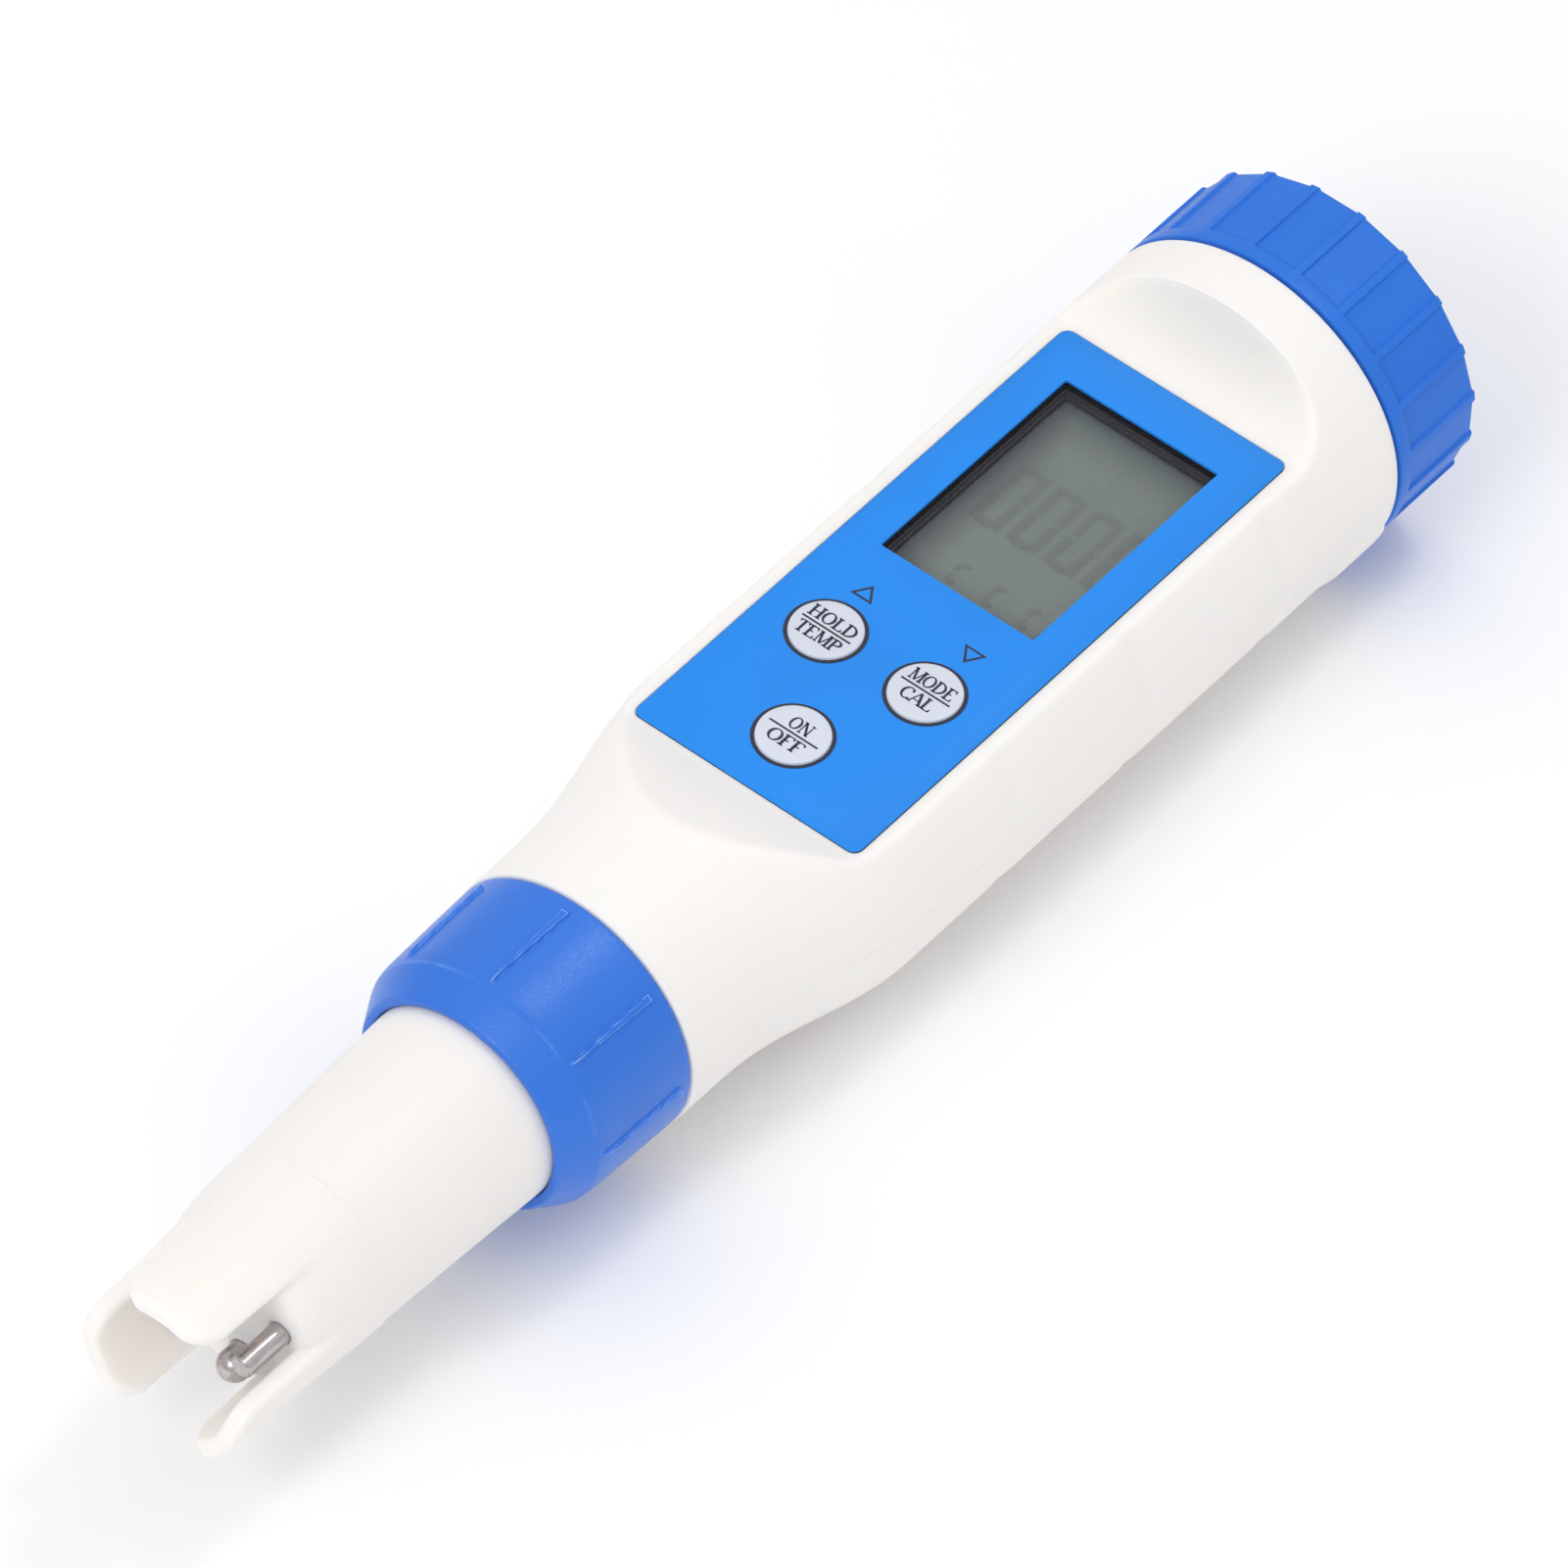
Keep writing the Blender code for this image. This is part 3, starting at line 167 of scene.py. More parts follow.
def carved(obj, steps, sharp=35.0):
    """Applies Boolean steps of (operation, other) and removes the others."""
    for operation, other in steps:
        modifier = obj.modifiers.new(other.name, "BOOLEAN")
        modifier.operation = operation
        modifier.object = other
        modifier.solver = "EXACT"
    bpy.context.view_layer.update()
    graph = bpy.context.evaluated_depsgraph_get()
    mesh = bpy.data.meshes.new_from_object(obj.evaluated_get(graph))
    obj.modifiers.clear()
    obj.data = mesh
    for _, other in steps:
        bpy.data.objects.remove(other, do_unlink=True)
    bent_normals(mesh, sharp)


def smooth_min(a, b, softness):
    share = np.clip(0.5 + 0.5 * (b - a) / softness, 0, 1)
    return b * (1 - share) + a * share - softness * share * (1 - share)


def smooth_max(a, b, softness):
    return -smooth_min(-a, -b, softness)


def smooth_step(low, high, value):
    share = np.clip((value - low) / (high - low), 0, 1)
    return share * share * (3 - 2 * share)


def around(x, radius, clocks):
    """Points at each clock angle: x and radius are numbers or one value for each angle."""
    turn = np.radians(clocks)
    x = np.broadcast_to(x, turn.shape)
    return np.stack([x, -radius * np.cos(turn), radius * np.sin(turn)], axis=1)


def stacked(layers, closed="ends"):
    """A skin through rings of points. closed: 'ends' fills the first and last ring, 'loop' joins them."""
    count = len(layers[0])
    starts = [i * count for i in range(len(layers))]
    pairs = list(zip(starts, starts[1:]))
    if closed == "loop":
        pairs.append((starts[-1], 0))
    sides = [(j, (j + 1) % count) for j in range(count)]
    faces = [(a + j, a + k, b + k, b + j) for a, b in pairs for j, k in sides]
    if closed == "ends":
        faces += [tuple(range(start, start + count)) for start in (0, starts[-1])]
    return np.concatenate(layers), faces


def rings(rows, clocks, closed="ends"):
    """A skin through rows of (x, radius)."""
    return stacked([around(x, radius, clocks) for x, radius in rows], closed)


def levels(rows, closed="ends"):
    """A skin through rows of (z, flat outline)."""
    return stacked([[(x, y, z) for x, y in outline] for z, outline in rows], closed)


def even_clocks(count):
    return np.arange(count) * 360.0 / count


def turned(name, outline, segments, centre, material, slot, replaces=(), closed="ends"):
    """A turned piece of the electrode, from (x, radius) points about a line along the pen."""
    verts, faces = rings(outline, even_clocks(segments), closed)
    piece(name, verts + np.array([0.0, *centre]), faces, material, "electrode", replaces, slot, 30)


def rounded(outline, radius, steps=3):
    """The outline with each inner corner replaced by an arc-like curve of about this radius."""
    points = [outline[0]]
    for before, corner, after in zip(outline, outline[1:], outline[2:]):
        into, out = Vector(before) - Vector(corner), Vector(after) - Vector(corner)
        reach = min(radius, 0.45 * into.length, 0.45 * out.length)
        a = Vector(corner) + into.normalized() * reach
        b = Vector(corner) + out.normalized() * reach
        for i in range(steps + 1):
            t = i / steps
            points.append(tuple(a * (1 - t) ** 2 + Vector(corner) * 2 * t * (1 - t) + b * t**2))
    return points + [outline[-1]]


def clock_place(clock, reach):
    turn = math.radians(clock)
    return -reach * math.cos(turn), reach * math.sin(turn)


def prism(outline, low, high):
    """A flat outline of (x, y) raised from low to high."""
    return levels([(low, outline), (high, outline)])


def joined(*parts):
    verts, faces = [], []
    for part_verts, part_faces in parts:
        start = len(verts)
        verts += [tuple(v) for v in part_verts]
        faces += [tuple(start + i for i in face) for face in part_faces]
    return verts, faces


def prisms(outlines, low, high):
    return joined(*[prism(outline, low, high) for outline in outlines])


def circle(centre, radius, steps):
    turns = np.linspace(0, math.tau, steps, endpoint=False)
    return [(centre[0] + radius * math.cos(t), centre[1] + radius * math.sin(t)) for t in turns]


def rectangle(x, y, half_x, half_y):
    return [(x + a * half_x, y + b * half_y) for a, b in ((-1, -1), (1, -1), (1, 1), (-1, 1))]


def grown_rectangle(low, high, margin, radius, steps=6):
    """A box's outline grown by a margin, even about the pen's centre line, with round corners."""
    outline = []
    for index, (side_x, side_y) in enumerate(((1, 1), (-1, 1), (-1, -1), (1, -1))):
        x = (high[0] if side_x > 0 else low[0]) + side_x * (margin - radius)
        y = side_y * (high[1] + margin - radius)
        for i in range(steps + 1):
            turn = (index + i / steps) * math.pi / 2
            outline.append((x + radius * math.cos(turn), y + radius * math.sin(turn)))
    return outline


def helix(start_x, root, outward=True):
    """A right-hand thread ridge with its foot sunk in the wall, lower where it runs out at its ends."""
    sign = 1 if outward else -1
    flank = ((-0.6, -0.3), (-0.45, 0.25 * THREAD_HEIGHT), (-0.3, THREAD_HEIGHT))
    section = flank + tuple((-along, up) for along, up in flank[::-1])
    layers = []
    for share in np.linspace(0, 1, int(48 * THREAD_TURNS) + 1):
        angle = -math.tau * THREAD_TURNS * share
        full = 0.35 + 0.65 * min(1.0, 4 * share, 4 * (1 - share))
        layer = []
        for along, up in section:
            radius = root + sign * (up * full if up > 0 else up)
            x = start_x + PITCH * THREAD_TURNS * share + along
            layer.append((x, -radius * math.cos(angle), radius * math.sin(angle)))
        layers.append(layer)
    return stacked(layers)


# ---- materials


class Tree:
    """A short way to add nodes to a material or a world, and to link them."""

    def __init__(self, owner, space):
        owner.use_nodes = True
        self.tree = owner.node_tree
        self.coords = self.add("ShaderNodeTexCoord").outputs[space]

    def add(self, kind, sockets=None, **values):
        """A new node with some of its sockets and its own values set."""
        node = self.tree.nodes.new(kind)
        for key, value in values.items():
            setattr(node, key, value)
        for key, value in (sockets or {}).items():
            node.inputs[key].default_value = value
        return node

    def link(self, output, target):
        self.tree.links.new(output, target)

    def axes(self):
        """X, Y and Z: metres from the pen's seam on a piece, and height on the unit sphere in the sky."""
        split = self.add("ShaderNodeSeparateXYZ")
        self.link(self.coords, split.inputs["Vector"])
        return split.outputs

    def noise(self, scale, detail=3.0, stretch=None):
        coords = self.coords
        if stretch is not None:
            mapping = self.add("ShaderNodeMapping", {"Scale": stretch})
            self.link(coords, mapping.inputs["Vector"])
            coords = mapping.outputs["Vector"]
        node = self.add("ShaderNodeTexNoise", {"Scale": scale, "Detail": detail})
        self.link(coords, node.inputs["Vector"])
        return node.outputs["Fac"]

    def ramp(self, source, low, high, low_value=0.0, high_value=1.0, curve="SMOOTHSTEP"):
        """low_value up to where the source is low, high_value from where it is high."""
        ends = {"From Min": low, "From Max": high, "To Min": low_value, "To Max": high_value}
        node = self.add("ShaderNodeMapRange", ends, interpolation_type=curve)
        self.link(source, node.inputs["Value"])
        return node.outputs["Result"]

    def cloud(self, scale, detail=3.0, low=0.3, high=0.7, *values):
        """Noise made clearer by a ramp."""
        return self.ramp(self.noise(scale, detail), low, high, *values)

    def math(self, operation, a, b=None):
        node = self.add("ShaderNodeMath", operation=operation)
        for socket, value in zip(node.inputs, (a, b)):
            if value is None:
                continue
            if isinstance(value, (int, float)):
                socket.default_value = value
            else:
                self.link(value, socket)
        return node.outputs["Value"]

    def product(self, result, *others):
        for other in others:
            result = self.math("MULTIPLY", result, other)
        return result

    def mix(self, share, a, b):
        """Colour a where share is 0 and b where it is 1."""
        node = self.add("ShaderNodeMix", data_type="RGBA")
        self.link(share, node.inputs["Factor"])
        for socket, value in ((node.inputs[6], a), (node.inputs[7], b)):
            if isinstance(value, tuple):
                socket.default_value = (*value, 1)
            else:
                self.link(value, socket)
        return node.outputs[2]


class Nodes(Tree):
    """A Principled material, with its constant values on the shader's own sockets."""

    def __init__(self, name, colour, roughness, **settings):
        self.material = bpy.data.materials.new(name)
        super().__init__(self.material, "Object")
        self.shader = self.tree.nodes["Principled BSDF"]
        self.shader.inputs["Base Color"].default_value = (*colour, 1)
        self.shader.inputs["Roughness"].default_value = roughness
        for key, value in settings.items():
            self.shader.inputs[key.replace("_", " ")].default_value = value

    def colour(self, source):
        self.link(source, self.shader.inputs["Base Color"])

    def roughness(self, source):
        self.link(source, self.shader.inputs["Roughness"])

    def bump(self, height, distance, strength=1.0):
        node = self.add("ShaderNodeBump", {"Distance": distance, "Strength": strength})
        self.link(height, node.inputs["Height"])
        self.link(node.outputs["Normal"], self.shader.inputs["Normal"])

    def dust(self, spacing, size):
        """1 on a few tiny specks: one in each Voronoi cell whose random colour lets it through."""
        cells = self.add("ShaderNodeTexVoronoi", {"Scale": 1 / spacing})
        self.link(self.coords, cells.inputs["Vector"])
        near = self.ramp(cells.outputs["Distance"], size / spacing * 0.5, size / spacing, 1.0, 0.0)
        split = self.add("ShaderNodeSeparateColor")
        self.link(cells.outputs["Color"], split.inputs["Color"])
        return self.product(near, self.ramp(split.outputs[0], 0.80, 0.82))


def toned(colour, tone):
    return tuple(c * tone for c in colour)


def moulded(name, colour, roughness, grain=0.00025, dusty=False, pebble=0.35, gloss=0.5, painted_highlight=None):
    """Moulded plastic: fine grain in the bump and gloss, faint clouding of the colour, a little dust and,
    where asked, painted highlight lines in a lighter blue.
    """
    nodes = Nodes(name, colour, roughness, Specular_IOR_Level=gloss)
    cloud = nodes.cloud(60.0, 4.0, 0.35, 0.65)
    tint = nodes.mix(cloud, colour, toned(colour, 0.96))
    if dusty:
        tint = nodes.mix(nodes.dust(0.0040, 0.00010), tint, (0.92, 0.92, 0.92))
    if painted_highlight:
        # Painted highlight: the mask's lines take a lighter blue.
        tint = nodes.mix(painted_highlight(nodes), tint, BLUE_PAINTED_HIGHLIGHT)
    nodes.colour(tint)
    fine = nodes.noise(1 / grain, 2.0)
    nodes.roughness(nodes.ramp(fine, 0.3, 0.7, roughness - 0.05, roughness + 0.07))
    nodes.bump(fine, 0.00004, pebble)
    return nodes.material


def rib_wear(nodes):
    """Painted highlights: lighter lines round the collar's ribs and along the crease of its cone, on faces
    turned outward, in metres from the seam.
    """
    crease_x = -0.12055
    x, y, z = nodes.axes()
    clock = nodes.math("PINGPONG", nodes.math("ARCTAN2", z, y), math.radians(COLLAR_RIB_STEP / 2))
    away = nodes.product(clock, COLLAR_RADIUS * MM)
    half = nodes.ramp(x, -0.1199, -0.1089, 0.00010, 0.00044, "LINEAR")
    outside = nodes.math("SUBTRACT", away, half)
    flank = nodes.ramp(nodes.math("ABSOLUTE", outside), 0.00005, 0.00014, 1.0, 0.0)
    end = nodes.product(nodes.ramp(outside, 0.0, 0.00005, 1.0, 0.0), nodes.ramp(x, -0.10892, -0.10882))
    along = nodes.product(nodes.ramp(x, -0.1201, -0.1195), nodes.ramp(x, -0.10868, -0.10862, 1.0, 0.0))
    rib = nodes.product(nodes.math("MAXIMUM", flank, end), along)
    beside = nodes.math("ABSOLUTE", nodes.math("SUBTRACT", x, crease_x))
    crease = nodes.ramp(beside, 0.00006, 0.00026, 0.4, 0.0)
    crease = nodes.product(crease, nodes.cloud(90.0, 2.0, 0.42, 0.6))
    patchy = nodes.cloud(700.0, 3.0, 0.30, 0.62, 0.4, 0.95)
    flat = nodes.add("ShaderNodeVectorMath", {1: (0, 1, 1)}, operation="MULTIPLY")
    radial = nodes.add("ShaderNodeVectorMath", operation="NORMALIZE")
    outward = nodes.add("ShaderNodeVectorMath", operation="DOT_PRODUCT")
    nodes.link(nodes.coords, flat.inputs[0])
    nodes.link(flat.outputs["Vector"], radial.inputs[0])
    nodes.link(radial.outputs["Vector"], outward.inputs[0])
    nodes.link(nodes.add("ShaderNodeTexCoord").outputs["Normal"], outward.inputs[1])
    facing = nodes.ramp(outward.outputs["Value"], 0.45, 0.8)
    return nodes.product(nodes.math("MAXIMUM", rib, crease), patchy, facing)


def white_plastic(name, depth, share, tone=1.0, scoop=False):
    """Off-white plastic that lets some light in; where scoop is set, painted light makes it a little lighter
    and warmer inside the scoop, against the shade there.
    """
    base = toned((0.92, 0.89, 0.868), tone)
    cloudy = toned((0.91, 0.875, 0.850), tone)
    nodes = Nodes(name, base, 0.42, Specular_IOR_Level=0.3, Subsurface_Weight=share,
                  Subsurface_Radius=(1.0, 0.8, 0.6), Subsurface_Scale=depth)
    cloud = nodes.cloud(45.0, 4.0, 0.35, 0.68)
    tint = nodes.mix(cloud, base, cloudy)
    if scoop:
        # Painted light: the scoop, above the land near the cap and nearer to the axis than the body's own
        # radius, is tinted lighter and warmer.
        x, y, z = nodes.axes()
        square = nodes.math("ADD", nodes.product(y, y), nodes.product(z, z))
        sunk = nodes.ramp(square, 0.0185**2, 0.0189**2, 1.0, 0.0)
        inside = nodes.product(nodes.ramp(x, -0.0145, -0.0115), sunk, nodes.ramp(z, 0.0095, 0.0105))
        tint = nodes.mix(inside, tint, (0.945, 0.89, 0.848))
        # Painted light: the scoop's steep wall by the cap is lighter and warmer still.
        wall = nodes.product(inside, nodes.ramp(x, -0.0096, -0.0072))
        tint = nodes.mix(wall, tint, (1.0, 0.93, 0.85))
    nodes.colour(tint)
    fine = nodes.noise(3500.0, 2.0)
    nodes.roughness(nodes.ramp(fine, 0.3, 0.7, 0.38, 0.48))
    nodes.bump(fine, 0.000012, 0.3)
    return nodes.material


def metal(name, colour, roughness, stretch=(300.0, 4000.0, 4000.0), streaks=0.9):
    """Drawn or plated metal with fine lines along the pen; streaks is the tone of the darker ones."""
    nodes = Nodes(name, colour, roughness, Metallic=1.0)
    lines = nodes.noise(1.0, 4.0, stretch)
    patches = nodes.cloud(700.0, 3.0, 0.35, 0.7)
    tint = nodes.mix(patches, colour, toned(colour, 0.8))
    tint = nodes.mix(nodes.ramp(lines, 0.35, 0.6, 1.0, 0.0), tint, toned(colour, streaks))
    nodes.colour(tint)
    nodes.roughness(nodes.ramp(lines, 0.3, 0.7, roughness - 0.07, roughness + 0.1))
    nodes.bump(lines, 0.000006, 0.5)
    return nodes.material


def frame_look():
    """Dark rubber whose top step is black and whose lower steps are a faintly clouded dark grey."""
    nodes = Nodes("frame_look", (0.05, 0.05, 0.06), 0.7, Specular_IOR_Level=0.05)
    cloud = nodes.cloud(900.0)
    # The lower steps: dark grey with faint clouding.
    dusty = nodes.mix(cloud, (0.058, 0.057, 0.067), (0.066, 0.064, 0.073))
    high = nodes.ramp(nodes.axes()["Z"], 0.00940, 0.00955)
    nodes.colour(nodes.mix(high, dusty, (0.012, 0.012, 0.018)))
    return nodes.material


def clear_sheet(name, tint, alpha):
    """A thin clear sheet: see-through, with gloss on its surface."""
    nodes = Nodes(name, tint, 0.04, Alpha=alpha, IOR=1.35)
    nodes.colour(nodes.mix(nodes.cloud(80.0), tint, toned(tint, 0.96)))
    nodes.roughness(nodes.cloud(300.0, 3.0, 0.3, 0.7, 0.03, 0.08))
    return nodes.material


# The body's plastic, with painted light in its scoop.
WHITE = white_plastic("white_plastic_look", 0.0018, 0.5, scoop=True)
GUARD = white_plastic("guard_plastic_look", 0.0026, 0.7, 0.965)
# Lighter blue for the collar's painted highlights.
BLUE_PAINTED_HIGHLIGHT = (0.20, 0.40, 0.92)
BLUE = moulded("blue_plastic_look", (0.028, 0.178, 0.715), 0.36, dusty=True, pebble=0.6, gloss=0.18)
COLLAR_BLUE = moulded("collar_plastic_look", (0.024, 0.172, 0.715), 0.32, dusty=True, pebble=0.8, gloss=0.42,
                      painted_highlight=rib_wear)
LABEL = moulded("label_film_look", (0.018, 0.262, 0.860), 0.42, grain=0.00012, dusty=True, gloss=0.2)
KEY = moulded("key_look", (0.66, 0.70, 0.79), 0.50)
INK = moulded("ink_look", (0.014, 0.018, 0.045), 0.50)
RUBBER = moulded("rubber_look", (0.018, 0.018, 0.020), 0.62)
FRAME = frame_look()
STEEL = metal("probe_steel_look", (0.62, 0.58, 0.59), 0.21, (300.0, 7000.0, 7000.0), 0.74)
NICKEL = metal("nickel_look", (0.62, 0.60, 0.57), 0.22, (900.0, 900.0, 900.0))
BRASS = metal("brass_look", (0.78, 0.58, 0.28), 0.28)
GOLD = metal("gold_look", (0.90, 0.66, 0.28), 0.22)
SILVER = metal("silver_look", (0.80, 0.79, 0.77), 0.25)
NYLON = moulded("nylon_look", (0.045, 0.046, 0.050), 0.55)
EPOXY = moulded("epoxy_look", (0.012, 0.012, 0.013), 0.45)
CERAMIC = moulded("ceramic_look", (0.78, 0.73, 0.63), 0.85, grain=0.00008)
WINDOW = clear_sheet("window_look", (0.80, 0.85, 0.84), 0.004)
GLASS = clear_sheet("bulb_glass_look", (0.86, 0.90, 0.92), 0.06)


# ---- body


def flare(x):
    share = np.clip((x - FLARE_X[0]) / (FLARE_X[1] - FLARE_X[0]), 0, 1) ** 1.2
    return NECK_RADIUS + (BODY_RADIUS - NECK_RADIUS) * (3 * share**2 - 2 * share**3)


def land_height(x):
    """Height over the axis of the surface that cuts the body flat, at each x."""
    (foot_x, foot_z), (crest_x, crest_z) = LAND_RAMP
    share = (foot_x - x) / (foot_x - crest_x)
    bulge = LAND_RAMP_BULGE * np.sin(math.pi * np.clip(share, 0, 1))
    ramp = foot_z + (crest_z - foot_z) * share + bulge
    height = smooth_max(np.full_like(ramp, LAND_Z), ramp, 0.4)
    depth = BODY_RADIUS - LAND_Z
    along = np.clip((x - SCOOP_X[0]) / (SCOOP_X[1] - SCOOP_X[0]), 0, 1)
    scoop = BODY_RADIUS - depth * np.sqrt(np.maximum(1 - along**2, 0))
    height = np.where(x > SCOOP_X[0], scoop, height)
    return np.where(x >= SCOOP_X[1], 40.0, height)


def body_surface(x, clocks):
    """The body's outer radius at one x, for every clock angle."""
    x = np.full(len(clocks), float(x))
    up = np.sin(np.radians(clocks))
    cut = np.where(up > 0.05, land_height(x) / np.maximum(up, 0.05), FAR)
    radius = smooth_min(flare(x), cut, 0.65 + 0.15 * smooth_step(-15.0, -9.0, x))
    rise = np.degrees(np.arcsin(np.clip(up, -1, 1)))
    flank = smooth_step(-38, -22, rise) * (1 - smooth_step(30, 38, rise))
    for dip_x in GRIP_DIP_X:
        away = np.clip(np.abs(x - dip_x) / GRIP_DIP_REACH, 0, 1)
        radius = radius - GRIP_DIP_DEPTH * np.cos(away * math.pi / 2) ** 2 * flank
    radius = radius - PARTING_LINE_DEPTH * (1 - smooth_step(0.08, 0.35, np.abs(rise)))
    pad = smooth_step(-8.6, -6.8, x) * (1 - smooth_step(-1.3, -0.9, x))
    return radius + (BACK_PAD_RADIUS - BODY_RADIUS) * pad * (1 - smooth_step(-17.5, -14.0, rise))


def spread(*spans):
    """Sorted stations from spans of (start, end, step), without near repeats."""
    values = np.sort(np.concatenate([np.arange(a, b + 1e-6, step) for a, b, step in spans]))
    keep = [values[0]]
    for value in values[1:]:
        if value - keep[-1] > 0.045:
            keep.append(value)
    return np.array(keep)


def body_clocks():
    """Close together at the land's edges, the parting line and the back pad's ends."""
    half = spread((-90, -20, 2.0), (-19, -12.5, 0.7), (-11, -1, 2.0), (-0.6, 0.61, 0.15), (1.5, 26, 1.6),
                  (27, 41, 0.4), (42, 90, 1.0))
    half = half[(half > -90 + 1e-6) & (half < 90 - 1e-6)]
    return np.concatenate([[-90.0], half, [90.0], (180 - half)[::-1]])


def body_stations():
    """Close together at the land's ramp, the grip dips, the scoop and the mouth."""
    return spread((-106.3, -97.0, 1.1), (-96.5, -80.5, 0.35), (-80.0, -64.0, 1.3), (-63.4, -59.0, 0.35),
                  (-58.0, -44.0, 1.5), (-43.0, -38.6, 0.35), (-37.0, -22.5, 1.5), (-21.4, -17.0, 0.35),
                  (-16.4, -13.4, 0.6), (-13.2, -8.0, 0.28), (-7.9, -6.3, 0.08), (-6.1, -1.6, 0.5),
                  (-1.4, -0.55, 0.12))


def cavity_cutter():
    """The hollow inside the body: a bore under a flat ceiling."""
    wall = 2.2
    ceiling = 8.8
    rows = [(x, float(flare(x)) - wall) for x in np.linspace(FLARE_X[0], FLARE_X[1], 9)]
    rows += [(-5.0, BODY_RADIUS - wall), (-4.2, 13.6)]
    cutter = piece("cavity_cutter", *rings(rows, even_clocks(72)))
    bm = bmesh.new()
    bm.from_mesh(cutter.data)
    parts = bm.verts[:] + bm.edges[:] + bm.faces[:]
    plane = {"plane_co": (0, 0, ceiling * MM), "plane_no": (0, 0, 1)}
    cut = bmesh.ops.bisect_plane(bm, geom=parts, clear_outer=True, **plane)
    rim = [item for item in cut["geom_cut"] if isinstance(item, bmesh.types.BMEdge)]
    bmesh.ops.edgeloop_fill(bm, edges=rim)
    bmesh.ops.recalc_face_normals(bm, faces=bm.faces)
    bm.to_mesh(cutter.data)
    bm.free()
    return cutter


def make_body():
    """The housing, with its bores, the face's openings and both threads."""
    clocks = body_clocks()
    root = 12.3
    rows = [(NECK_END_X, root - 0.4), (NECK_END_X + 0.15, root - 0.12), (NECK_END_X + 0.4, root)]
    rows += [(BODY_FRONT_X - 0.02, root), (BODY_FRONT_X, root + 0.05), (BODY_FRONT_X, NECK_RADIUS - 0.2)]
    rows += [(BODY_FRONT_X + 0.05, NECK_RADIUS - 0.08), (BODY_FRONT_X + 0.16, NECK_RADIUS - 0.02)]
    rows += [(x, body_surface(x, clocks)) for x in body_stations()]
    rows += [(-0.35, BODY_RADIUS - 0.04), (-0.18, BODY_RADIUS - 0.16), (-0.1, BODY_RADIUS - 0.4)]
    mouth = 15.2
    rows += [(-0.1, mouth + 0.05), (-0.08, mouth), (2.0, mouth), (2.15, mouth + 0.2)]
    rows += [(MOUTH_END_X - 0.3, mouth + 0.2), (MOUTH_END_X - 0.08, mouth + 0.1), (MOUTH_END_X, mouth - 0.1)]
    skin = rings(rows, clocks)
    body = piece("body_housing", *skin, WHITE, "meter_body", ["body_shell"], "white_plastic", 30)
    bore_front = rings([(NECK_END_X - 1, 11.0), (FLARE_X[0] + 1, 11.0)], even_clocks(72))
    bore_mouth = rings([(-4.7, 13.4), (MOUTH_END_X + 1, 13.4)], even_clocks(72))
    bores = piece("bore_cutter", *joined(bore_front, bore_mouth))
    recess_outline = grown_rectangle(LABEL_LOW, LABEL_HIGH, 0.1, 1.15)
    recess = piece("recess_cutter", *prism(recess_outline, LAND_Z - 0.3, LAND_Z + 1.0))
    openings = piece("opening_cutter", *face_openings(0.6, 0.6, 0.2, 48, 7.8, 11.0))
    ridges = joined(helix(COLLAR_THREAD_X, root), helix(CAP_THREAD_X, mouth + 0.2))
    threads = piece("thread_maker", *ridges)
    steps = [("DIFFERENCE", cutter) for cutter in (cavity_cutter(), bores, recess, openings)]
    carved(body, steps + [("UNION", threads)], 30)


def key_centre(name):
    low, high = KEYS[name]
    return (low[0] + high[0]) / 2, (low[1] + high[1]) / 2


# ---- face


def face_openings(window_margin, window_radius, key_margin, segments, low, high):
    """Cutters for the display's window and the three keys."""
    window = grown_rectangle(WINDOW_LOW, WINDOW_HIGH, window_margin, window_radius)
    outlines = [window] + [circle(key_centre(name), KEY_RADIUS + key_margin, segments) for name in KEYS]
    return prisms(outlines, low, high)


def make_label():
    """The printed film; its upright cut edges take the dark ink as painted shade, for the shadow line round
    the label.
    """
    edge = 0.05
    low = LAND_Z - 0.22
    outline = grown_rectangle(LABEL_LOW, LABEL_HIGH, 0, 1.1)
    inner = grown_rectangle(LABEL_LOW, LABEL_HIGH, -edge, 1.05)
    layers = levels([(low, outline), (LABEL_TOP_Z - edge, outline), (LABEL_TOP_Z, inner)])
    film = piece("printed_label", *layers, LABEL, "meter_body", ["face_label"], "label_film", 50)
    # Painted shade: the film's upright cut edges get the dark ink, standing in for the shadow line round the
    # label.
    film.data.materials.append(INK)
    for face in film.data.polygons:
        face.material_index = int(abs(face.normal.z) < 0.3)
    openings = face_openings(0.1, 0.25, 0.3, 96, low - 1, 12.0)
    carved(film, [("DIFFERENCE", piece("label_cutter", *openings))], 50)


def stroke_band(points, widths):
    """A flat band along points, with its own width at each."""
    left, right = [], []
    for i, point in enumerate(points):
        before = Vector(points[max(i - 1, 0)])
        after = Vector(points[min(i + 1, len(points) - 1)])
        side = (after - before).normalized().orthogonal() * widths[i] / 2
        left.append(tuple(Vector(point) + side))
        right.append(tuple(Vector(point) - side))
    return left + right[::-1]


def stroke(start, end, width, end_width=None):
    return stroke_band([start, end], [width, end_width or width])


THICK, THIN = 0.165, 0.085


def stem(x, width=THICK, serifs=(True, True), slant=0.0):
    """An upright stroke with flat serifs at its ends."""
    shapes = [stroke((x - slant, 0.0), (x + slant, 1.0), width)]
    for wanted, y, end_x in ((serifs[0], THIN / 2, x - slant), (serifs[1], 1.0 - THIN / 2, x + slant)):
        if wanted:
            reach = width / 2 + 0.085
            shapes.append(stroke((end_x - reach, y), (end_x + reach, y), THIN))
    return shapes


